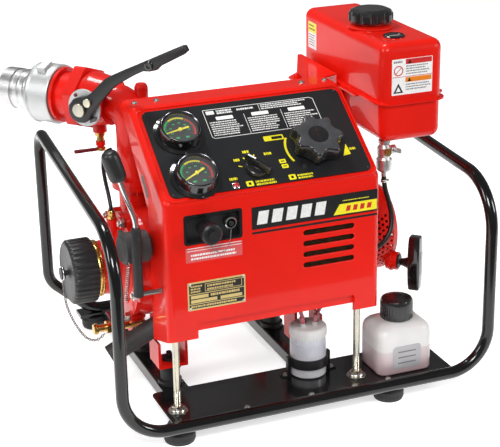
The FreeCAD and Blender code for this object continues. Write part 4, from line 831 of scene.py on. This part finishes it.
gauge = Build()
f = local((244, 187, 637.9))
gauge.lathe(f, [(0, 0), (19.5, 0), (20.2, 0.6), (20.0, 2.2), (18.6, 3.4), (17.0, 3.6), (16.2, 2.2), (15.8, 1.6), (0, 1.6)],
            gloss_plastic, 56)
gauge.lathe(f, [(0, 1.6), (15.6, 1.6), (15.4, 2.6), (11, 3.6), (0, 4.2)], glass, 40)
gauge.box(f, -10, 10, -0.6, 0.6, 1.6, 1.75, ink_white)
gauge.finish("fuel_level_gauge", slot="gloss_black")

neck = Build()
f = local((242, 279, 637.8))
neck.lathe(f, [(24.2, 0), (40, 0.1), (44, 0.8), (43.6, 2.6), (40, 4.4), (25, 5), (24.2, 8.5)], red_paint, 56, closed=True)
neck.finish("filler_collar", slot="fire_red")

label = Build()
f = local((0, 131.95, 0), FRONT, (1, 0, 0))
label.prism(f, rounded_rectangle(81, 66, 1.5, x=253.5, y=576.5), 0.0, 0.3, ink_white)
label.box(f, 213.5, 293.5, 576.0, 577.0, 0.3, 0.36, ink_red)
label.box(f, 240, 292.5, 599, 608.6, 0.3, 0.36, ink_red)
label.box(f, 240, 292.5, 566, 575, 0.3, 0.36, ink_orange)
for k in range(2):
    z = 584 if k == 0 else 553
    if k == 0:
        label.sector(f @ Matrix.Translation((226, 588, 0)), 7.4, 9.4, 0, 360, 0.3, 0.38, ink_red, 28)
        label.prism(f @ Matrix.Translation((226, 588, 0)) @ Matrix.Rotation(math.radians(45), 4, "Z"),
                    [(-8, -0.7), (8, -0.7), (8, 0.7), (-8, 0.7)], 0.3, 0.38, ink_red)
    else:
        label.prism(f, [(216, 547), (236, 547), (226, 565)], 0.3, 0.36, ink_black)
        label.prism(f, [(221, 549.5), (231, 549.5), (226, 559)], 0.36, 0.4, ink_white)
    label.prism(f, [(244, 600.2 if k == 0 else 567), (252, 600.2 if k == 0 else 567), (248, 607.4 if k == 0 else 573.8)],
                0.36, 0.42, ink_black)
    text_rows(label, f, 241, 291, 596.5 if k == 0 else 563, 4 if k == 0 else 3, 4.6, 2.2, ink_grey, rng, 0.3, 0.36, 1.0)
text_rows(label, f, 216, 237, 606, 1, 4, 3.4, ink_grey, rng, 0.3, 0.36, 1.0)
label.finish("tank_label", slot="white_plastic", bevel=0.05)

label = Build()
f = local((194.95, 0, 0), LEFT, (0, -1, 0))       # local x = -Y, local y = Z
label.prism(f, rounded_rectangle(38, 52, 1.5, x=-440, y=590), 0.0, 0.25, ink_white)
label.box(f, -458.5, -421.5, 596, 615.5, 0.25, 0.3, ink_yellow)
text_rows(label, f, -456, -424, 611, 2, 7, 3, ink_black, rng, 0.3, 0.34, 1.0)
text_rows(label, f, -456, -424, 592, 5, 5, 2, ink_grey, rng, 0.25, 0.3, 1.0)
label.finish("tank_side_label", slot="white_plastic")

clips = Build()
for (x, y, z), axis in (((213, 158, 378), -UP), ((134, 119, 257.6), Vector((-1, 0, 0.05)))):
    f = local((x, y, z), axis)
    clips.lathe(f, [(4.6, 0), (5.6, 0), (5.9, 0.6), (5.9, 4.4), (5.6, 5), (4.6, 5)], steel, 28, closed=True)
    clips.box(f, 5.6, 10, -1.6, 1.6, 0.8, 4.2, steel)
clips.finish("hose_clips", slot="steel")

screw = Build()
f = local((213, 142.9, 434), FRONT)
bolt(screw, f, 5.2, 5, brass)
screw.finish("petcock_screw", slot="brass")

# ---------------------------------------------------------------- starter rope guide and grip

ROPE = Vector((math.sqrt(0.5), -math.sqrt(0.5), 0))
bush = Build()
f = local((246.1, 156.9, 210), ROPE)
bush.lathe(f, [(4.4, 0), (13.6, 0), (14.2, 0.8), (13.2, 2.2), (9.5, 3.0), (6.0, 2.2), (4.4, 0.8)], black_plastic, 48, closed=True)
bush.lathe(local((235.5, 167.5, 210), ROPE), [(16.8, 0), (18.6, 0), (19.4, 1.2), (19.4, 3.8), (18.6, 5.0), (16.8, 5.0)],
           red_paint, 56, closed=True)
bush.finish("rope_bush", slot="black_plastic")

grip = Build()
f = local((268, 132, 212), UP, tuple(ROPE))
rings = []
for z, size in ((-53, 0.62), (-52.2, 0.72), (-49, 0.82), (-38, 0.93), (-18, 1.02), (0, 1.05), (18, 1.02), (38, 0.93), (49, 0.82),
                (52.2, 0.72), (53, 0.62)):
    outline = rounded_rectangle(23.5 * (0.55 + 0.45 * size), 27.0 * size, 4.5 * size, 4)
    rings.append([(x, y, z) for x, y in outline])
grip.loft(f, rings, gloss_plastic)
grip.loft(f, [[(11.4, y, z) for y, z in rounded_rectangle(13, 46, 5, 5)],
              [(12.5, y, z) for y, z in rounded_rectangle(11, 44, 4.4, 5)]], gloss_plastic)
grip.lathe(local((259.6, 140.4, 210), -ROPE), [(0, -2), (11.4, -2), (11.0, 2), (8.4, 9), (7.0, 14.5), (6.0, 15.8), (0, 16)],
           gloss_plastic, 40)
grip.finish("starter_pull_grip", body="recoil_grip", slot="black_plastic", replaces=["starter_grip"], sharp=34)

# ---------------------------------------------------------------- suction side

ring = Build()
f = local((-318.3, SHAFT_Y, SHAFT_Z), LEFT)
ring.lathe(f, [(40.4, 0), (50, 0), (51.6, 1.2), (52, 3), (51, 4.2), (51.8, 5.4), (52, 8.5), (51, 10.4), (49, 11.3), (40.4, 11.3)],
           brass, 72, closed=True)
ring.finish("suction_brass_ring", slot="brass")

cap = Build()
f = local((-330, SHAFT_Y, SHAFT_Z), LEFT)
RIBS = 34
rings = []
for height, radius, depth in ((0.2, 55.5, 0), (0.6, 57.6, 1.4), (3.0, 58.6, 2.6), (38.0, 58.6, 2.8), (41.5, 57.6, 2.2), (44.0, 55.4, 0.9),
                              (45.6, 52.4, 0.0), (46.0, 50.0, 0.0), (45.6, 48.8, 0.0), (45.2, 47.0, 0.0), (45.3, 14.0, 0.0)):
    points = []
    for k in range(RIBS * 6):
        a = 2 * math.pi * k / (RIBS * 6)
        groove = (0.0, 0.0, 0.15, 0.85, 1.0, 0.85)[k % 6]
        points.append(((radius - depth * groove) * math.cos(a), (radius - depth * groove) * math.sin(a), height))
    rings.append(points)
rings.insert(0, [(x * 0.78, y * 0.78, 0.2) for x, y, _ in rings[0]])
cap.loft(f, rings, soft_grip)
cap.finish("suction_cap_ribbed", body="suction_blank_cap", slot="black_plastic", replaces=["suction_cap"], sharp=50)

# chain links along two hanging lines


def chain(name, points, body, link_length=6.4, link_width=4.8, wire=0.85, mat=chain_grey, replaces=()):
    line = smooth_path(points, 14)
    spots = even_points(line, (link_length - 2.1 * wire) * MM)
    links = Build()
    for i, (first, second) in enumerate(zip(spots, spots[1:])):
        along = (second - first).normalized()
        side = along.orthogonal().normalized()
        if i % 2:
            side = along.cross(side)
        centre = (first + second) / 2
        half = (link_length - link_width) / 2
        radius = (link_width - wire) / 2
        path = []
        for k in range(12):
            a = 2 * math.pi * k / 12
            shift = half if math.cos(a) > 0 else -half
            path.append(centre + (along * (math.cos(a) * radius + shift) + side * math.sin(a) * radius) * MM)
        links.sweep(path, wire, mat, 5, closed=True)
    return links.finish(name, body=body, slot="chain_steel", replaces=replaces, sharp=80)


chain("suction_cap_chain", [(-385.5, 229, 250.5), (-385, 227, 232), (-383.5, 226, 208), (-377, 225, 184), (-366, 225, 158),
                            (-352, 225, 136), (-338, 226, 126), (-325, 227.5, 126.5), (-313, 228, 136)], BASE,
      replaces=["cap_chain"])
loop = Build()
loop.sweep([place((-384.5, 235 + 12.4 * math.sin(2 * math.pi * k / 24), 262 + 12.4 * math.cos(2 * math.pi * k / 24)))
            for k in range(24)], 1.3, chrome, 8, closed=True)
loop.finish("chain_ring", slot="chain_steel", sharp=80)

tether = Build()
line = smooth_path([(-176.5, 30, 360), (-172, 25, 350), (-160, 28, 341), (-146, 34, 342), (-137, 40, 354), (-133, 44, 372)], 10)
for i, point in enumerate(even_points(line, 2.3 * MM)):
    f = Matrix.Translation(point) @ Matrix.Scale(MM, 4)
    tether.lathe(f, [(0, -1.0), (0.75, -0.7), (1.0, 0), (0.75, 0.7), (0, 1.0)], ink_grey, 8)
tether.sweep(line, 0.35, ink_grey, 5)
tether.finish("socket_cap_tether", slot="chain_steel", sharp=80)

# brass cock under the valve, with its tee
cock = Build()
f = local(tuple(delivery(COCK, 0, -60)), -UP)
cock.lathe(f, [(6.6, 0), (9, 0), (9, 4), (7, 5), (7, 17), (7.4, 18), (7.4, 19.4), (6.6, 19.4)], brass, 36, closed=True)
cock.prism(f, hex_outline(10.2), 2.0, 9.0, brass)
cock.finish("air_cock_body", slot="brass", bevel=0.4)

lever = Build()
hub = delivery(COCK, 0, -92.2)
f = local(tuple(hub), -UP, (-1, 0, 0))
lever.lathe(f, [(0, 0.2), (8.6, 0.2), (9, 1), (9, 5), (8, 6), (0, 6)], brass, 32)
handle = [(4, -3.2), (16, -4.6), (30, -4.2), (44, -5.6), (50, -4.6), (51.5, 0), (50, 4.6), (44, 5.6), (30, 4.2), (16, 4.6), (4, 3.2)]
lever.prism(f, handle, 0.8, 5.4, dark_red)
lever.finish("air_cock_handle", body="air_cock", slot="red_handle", replaces=["cock_handle"], bevel=1.2, bevel_segments=3)

fitting = Build()
f = local((-287, 238, 349.9))
fitting.prism(f, hex_outline(8.4), 0.1, 6.5, brass)
fitting.lathe(f, [(4.0, 0.5), (6.6, 0.5), (6.6, 9), (6.8, 10), (6.8, 15), (5.4, 17), (3.7, 17)], brass, 30, closed=True)
fitting.prism(f, hex_outline(7.4, 20), 10.5, 15, brass)
fitting.finish("hose_brass_fitting", slot="brass", bevel=0.4)

# primer's return spring
spring = Build()
start = Vector((-301, 96, 316))
end = Vector((-309, 99, 250))
turns = 17
points = []
axis = (end - start).normalized()
side = axis.orthogonal().normalized()
other = axis.cross(side)
for i in range(turns * 10 + 1):
    t = i / (turns * 10)
    a = 2 * math.pi * turns * t
    points.append(place(start + (end - start) * t + (side * math.cos(a) + other * math.sin(a)) * 3.3))
spring.sweep(points, 0.95, steel, 6)
for a, b in ((start, Vector((-300, 100, 324))), (end, Vector((-292, 128, 240)))):
    spring.sweep([place(a), place(a.lerp(b, 0.5)), place(b)], 0.95, steel, 6)
spring.finish("primer_spring", slot="chrome", sharp=80)

drain = Build()
f = local((-333.2, 228, 146), LEFT)
drain.lathe(f, [(0, 0), (8.0, 0), (9.6, 0.8), (9.6, 2.2), (7.0, 2.8), (0, 2.8)], brass, 36)
drain.sweep([place((-300, 228, 156)), place((-304, 227, 168)), place((-309, 226, 178))], 3.4, dark_red, 10)
drain.finish("drain_cock_trim", slot="brass", bevel=0.2)

# primer lever: sleeve, bent rod and rubber grip
sleeve = Build()
sleeve.lathe(local((-292, 76, 264)), [(0, 0), (7.6, 0), (8.5, 1.2), (8.5, 120), (7.6, 124), (6.2, 126), (0, 126)], rubber, 36)
sleeve.finish("primer_sleeve", body="primer", slot="black_rubber", replaces=["priming_lever"])
stick = Build()
stick.sweep(smooth_path([(-292, 76, 384), (-292, 76, 396), (-294.5, 76.5, 410), (-301, 77.5, 432), (-309, 78.5, 457), (-317, 79.5, 484)], 8),
            4.5, chrome, 18)
stick.sweep([place((-288, 76, 268)), place((-251.2, 76, 268))], 4.5, chain_grey, 18)
stick.finish("primer_rod", body="primer", slot="chrome", sharp=60)
grip = Build()
axis = (Vector((-332, 80, 528)) - Vector((-316, 78, 477))).normalized()
f = local((-315.6, 78, 476), axis)
grip.lathe(f, [(0, 0), (7, 0), (11.5, 1.2), (14.2, 4), (15.2, 9), (15.5, 24), (15.3, 40), (14.2, 48), (11.6, 52.4), (7.5, 54.2), (0, 54.8)],
           soft_grip, 48)
grip.finish("primer_grip", body="primer", slot="black_rubber", sharp=60)

# ---------------------------------------------------------------- delivery valve lever

LEVER = local(tuple(delivery(BALL)), STEM, tuple(-OUTLET))     # local x = back, y = up, z = along the stem
lever = Build()
upper = [(-2, 22), (10, 24.5), (22, 31), (33, 41), (46, 54), (58, 64), (72, 71.5), (98, 84), (122, 95), (146, 106),
         (178, 121), (216, 138.5), (222, 139)]
lower = [(227, 130), (219, 123), (172, 98), (164, 90), (150, 86), (136, 85), (112, 73), (97, 64), (80, 54), (68, 44), (55, 30), (40, 14),
         (26, -3), (18, -17), (8, -24), (-6, -25), (-19, -19), (-25, -8), (-24, 6), (-14, 18)]
shape = upper + lower


def lever_layer(grow, height, points=shape):
    count = len(points)
    moved = []
    for i, (x, y) in enumerate(points):
        before, after = points[i - 1], points[(i + 1) % count]
        tangent = Vector((after[0] - before[0], after[1] - before[1]))
        normal = Vector((-tangent.y, tangent.x)).normalized()
        moved.append((x + normal.x * grow, y + normal.y * grow, height))
    return moved


lever.loft(LEVER, [lever_layer(-1.6, 63.0), lever_layer(-0.4, 63.6), lever_layer(0, 65.2), lever_layer(0, 71.5), lever_layer(-0.5, 73.2),
                   lever_layer(-1.8, 73.9)], soft_grip)
lever.lathe(LEVER, [(0, 60.2), (17, 60.2), (18, 61), (18, 63.4), (0, 63.4)], soft_grip, 40)
boss = LEVER @ Matrix.Translation((150, 96.5, 0)) @ Matrix.Diagonal((0.74, 0.74, 1, 1))
lever.lathe(boss, [(0, 62.0), (10, 62.0), (12.4, 63), (13, 66), (12.8, 74), (11.4, 75.4), (8.0, 75.9), (5.4, 75.7), (4.4, 74.4), (0, 74.2)],
            gloss_plastic, 44)
lever.finish("delivery_lever", body="delivery_valve", slot="black_plate", replaces=["valve_lever"], sharp=45, subdivide=0)
bolts = Build()
bolts.lathe(LEVER, [(0, 73.8), (12.4, 73.8), (12.8, 74.6), (12.8, 78.6), (11.8, 79.8), (6, 80.2), (0, 80.3)], zinc, 44)
bolts.lathe(LEVER @ Matrix.Translation((18, 15, 0)), [(0, 73.8), (8.0, 73.8), (8.3, 74.4), (8.3, 77.4), (7.4, 78.4), (0, 78.8)], zinc, 36)
bolts.finish("lever_bolts", body="delivery_valve", slot="zinc", bevel=0.2)

disc = Build()
disc.lathe(LEVER, [(11, 56.6), (33.4, 56.6), (34.6, 57.6), (34.6, 59.2), (33.6, 60.0), (11, 60.0)], satin_silver, 64, closed=True)
disc.lathe(LEVER @ Matrix.Translation((-17, 22, 0)), [(0, 59.9), (3.4, 59.9), (3.4, 62.0), (2.6, 62.6), (0, 62.7)], dark_red, 24)
disc.prism(LEVER, [(12, -26), (24, -22), (27, -15), (14, -14)], 59.9, 62.8, gloss_plastic)
disc.finish("valve_stop_disc", slot="aluminium", bevel=0.3)

label = Build()
f = local(tuple(delivery(0)), UP, tuple(OUTLET))
for distance, height, size, tilt in ((118, 53.9, (30, 8), 0), (50, 46.2, (12, 11), 0)):
    g = f @ Matrix.Translation((distance, -6 if distance > 100 else -20, 0))
    if distance > 100:
        label.prism(g, rounded_rectangle(size[0], size[1], 1), height, height + 0.35, ink_white)
label.finish("valve_label", slot="white_plastic", bevel=0.05)

bolts = Build()
for x, y in ((-30, 0), (30, 0), (0, 34)):
    pass
for angle in (35, 145, 215, 325):
    a = math.radians(angle)
    f = local((ELBOW.x + 39.5 * math.cos(a), ELBOW.y + 39.5 * math.sin(a), 395.3))
    bolt(bolts, f, 4.6, 5.5, steel)
bolts.finish("riser_flange_bolts", slot="steel", bevel=0.25)

# ---------------------------------------------------------------- bottle, canister and base

bottle = Build()
X, Y = 200.0, 73.0
levels = [(42.2, -7, 12), (42.3, -3.5, 14), (43.6, -1.2, 16), (47, 0, 17), (70, 0.2, 17), (112, 0, 17), (120, -0.6, 17),
          (127, -2.8, 17), (132.5, -7.0, 17), (136, -12.6, 17), (137.8, -18.0, 17)]
rings = []
for z, inset, radius in levels:
    rings.append([(x, y, z) for x, y in rounded_rectangle(108 + 2 * inset, 90 + 2 * inset, radius, 11, X, Y)])
count = len(rings[0])
for radius, z in ((24, 138.9), (20.6, 139.8), (20.0, 142), (20.0, 153)):
    order = []
    for x, y, _ in rings[5]:
        a = math.atan2(y - Y, x - X)
        order.append((X + radius * math.cos(a), Y + radius * math.sin(a), z))
    rings.append(order)
origin = Matrix.Translation(SHIFT * MM) @ Matrix.Scale(MM, 4)
bottle.loft(origin, rings, bottle_shell)
bottle.finish("oil_bottle_shell", slot="bottle_white", replaces=["oil_bottle"], sharp=60)
mark = Build()
f = local((X, Y - 45.0, 0), FRONT, (1, 0, 0))
rows = []
for grow, out in ((0.8, -0.1), (0.4, 0.5), (-0.4, 0.6)):
    rows.append([(x, y, out) for x, y in rounded_rectangle(56 + 2 * grow, 44 + 2 * grow, 6 + grow, 6, x=0, y=76)])
mark.loft(f, rows, panel_white)
for level in (64, 75, 86):
    mark.box(f, -18, 18, level, level + 2.4, 0.55, 0.85, ink_grey)
mark.finish("bottle_panel", slot="bottle_white")
cap = Build()
f = local((X, Y, 0))
ribs = 40
rows = []
for z, radius, depth in ((139.6, 29.4, 0), (140.4, 30.2, 0.5), (141, 30.5, 0.6), (169, 30.3, 0.6), (173, 29.8, 0.4), (176, 28, 0),
                         (177.4, 24, 0), (177.5, 14, 0)):
    ring_points = []
    for k in range(ribs * 4):
        a = 2 * math.pi * k / (ribs * 4)
        r = radius - (depth if k % 4 in (0, 1) else 0)
        ring_points.append((r * math.cos(a), r * math.sin(a), z))
    rows.append(ring_points)
rows.insert(0, [(21 * math.cos(2 * math.pi * k / (ribs * 4)), 21 * math.sin(2 * math.pi * k / (ribs * 4)), 139.6) for k in range(ribs * 4)])
cap.loft(f, rows, knob_plastic)
cap.finish("bottle_screw_cap", body="oil_cap", slot="black_plastic", replaces=["bottle_cap"], sharp=30)

X, Y = 36.0, 106.0
lid = Build()
f = local((X, Y, 0))
rows = []
for z, radius, depth in ((120.6, 33.6, 0), (120.8, 34.4, 0.4), (123, 34.5, 0.5), (134, 34.5, 0.5), (137, 33.6, 0), (138.9, 31.2, 0), (139.2, 27.5, 0),
                         (138.4, 26.8, 0), (138.4, 20, 0)):
    rows.append([((radius - (depth if k % 4 in (0, 1) else 0)) * math.cos(2 * math.pi * k / 160),
                  (radius - (depth if k % 4 in (0, 1) else 0)) * math.sin(2 * math.pi * k / 160), z) for k in range(160)])
lid.loft(f, rows, white_plastic)
for offset in (-12, 12):
    g = f @ Matrix.Translation((offset, -4, 0))
    lid.lathe(g, [(0, 138.2), (6, 138.2), (6, 140), (4.6, 140.6), (4.6, 144.6), (0, 144.8)], white_plastic, 28)
lid.lathe(f @ Matrix.Translation((0, 12, 0)), [(0, 138.2), (2.5, 138.2), (2.3, 139.2), (0, 139.4)], ink_grey, 16)
lid.finish("canister_screw_lid", slot="white_plastic", replaces=["canister_lid"], sharp=30)
stubs = Build()
for offset, lean in ((-12, -2), (12, 3)):
    stubs.sweep([place((X + offset, Y - 4, 144.9)), place((X + offset + lean, Y - 4.5, 158))], 4.7, pink_vinyl, 16)
stubs.finish("canister_tube_ends", slot="pink_vinyl")

washers = Build()
for x in (-236.0, 111.4):
    f = local((x, 58, 0))
    washers.lathe(f, [(6.2, 42.15), (17.5, 42.15), (18, 42.6), (17.8, 43.4), (6.2, 43.6)], steel, 48, closed=True)
    washers.lathe(f, [(6.2, 44.9), (13.6, 45), (14.8, 46.0), (14.2, 47.6), (11.2, 49.6), (6.2, 49.8)], steel, 48, closed=True)
    for i in range(22):
        z = 54 + i * 1.3
        washers.lathe(f, [(6.0, z), (6.25, z + 0.4), (6.0, z + 0.8), (5.8, z + 0.4)], zinc, 28, closed=True)
washers.finish("stay_washers", slot="steel")

clip = Build()
f = local((36, 0, 0))
for x in (-9.4, 81.4):
    bolt(clip, local((x, 106, 44.5)), 3.4, 4, steel)
clip.finish("holder_screws", slot="steel", bevel=0.2)

weld = Build()
for x in (-212.0, 55.0):
    for dx in (-23.5, 23.5):
        weld.sweep([place((x + dx, 141 + k * 8, 41.3 + 0.3 * math.sin(k * 2.4))) for k in range(5)], 1.5, black_plate, 8)
weld.finish("rail_welds", slot="black_plate", sharp=80)

nuts = Build()
for angle in (20, 95, 170, 245, 320):
    a = math.radians(angle)
    f = local((-250 - 12.6, SHAFT_Y + 84 * math.cos(a), SHAFT_Z + 84 * math.sin(a)), LEFT)
nuts.mesh.free()
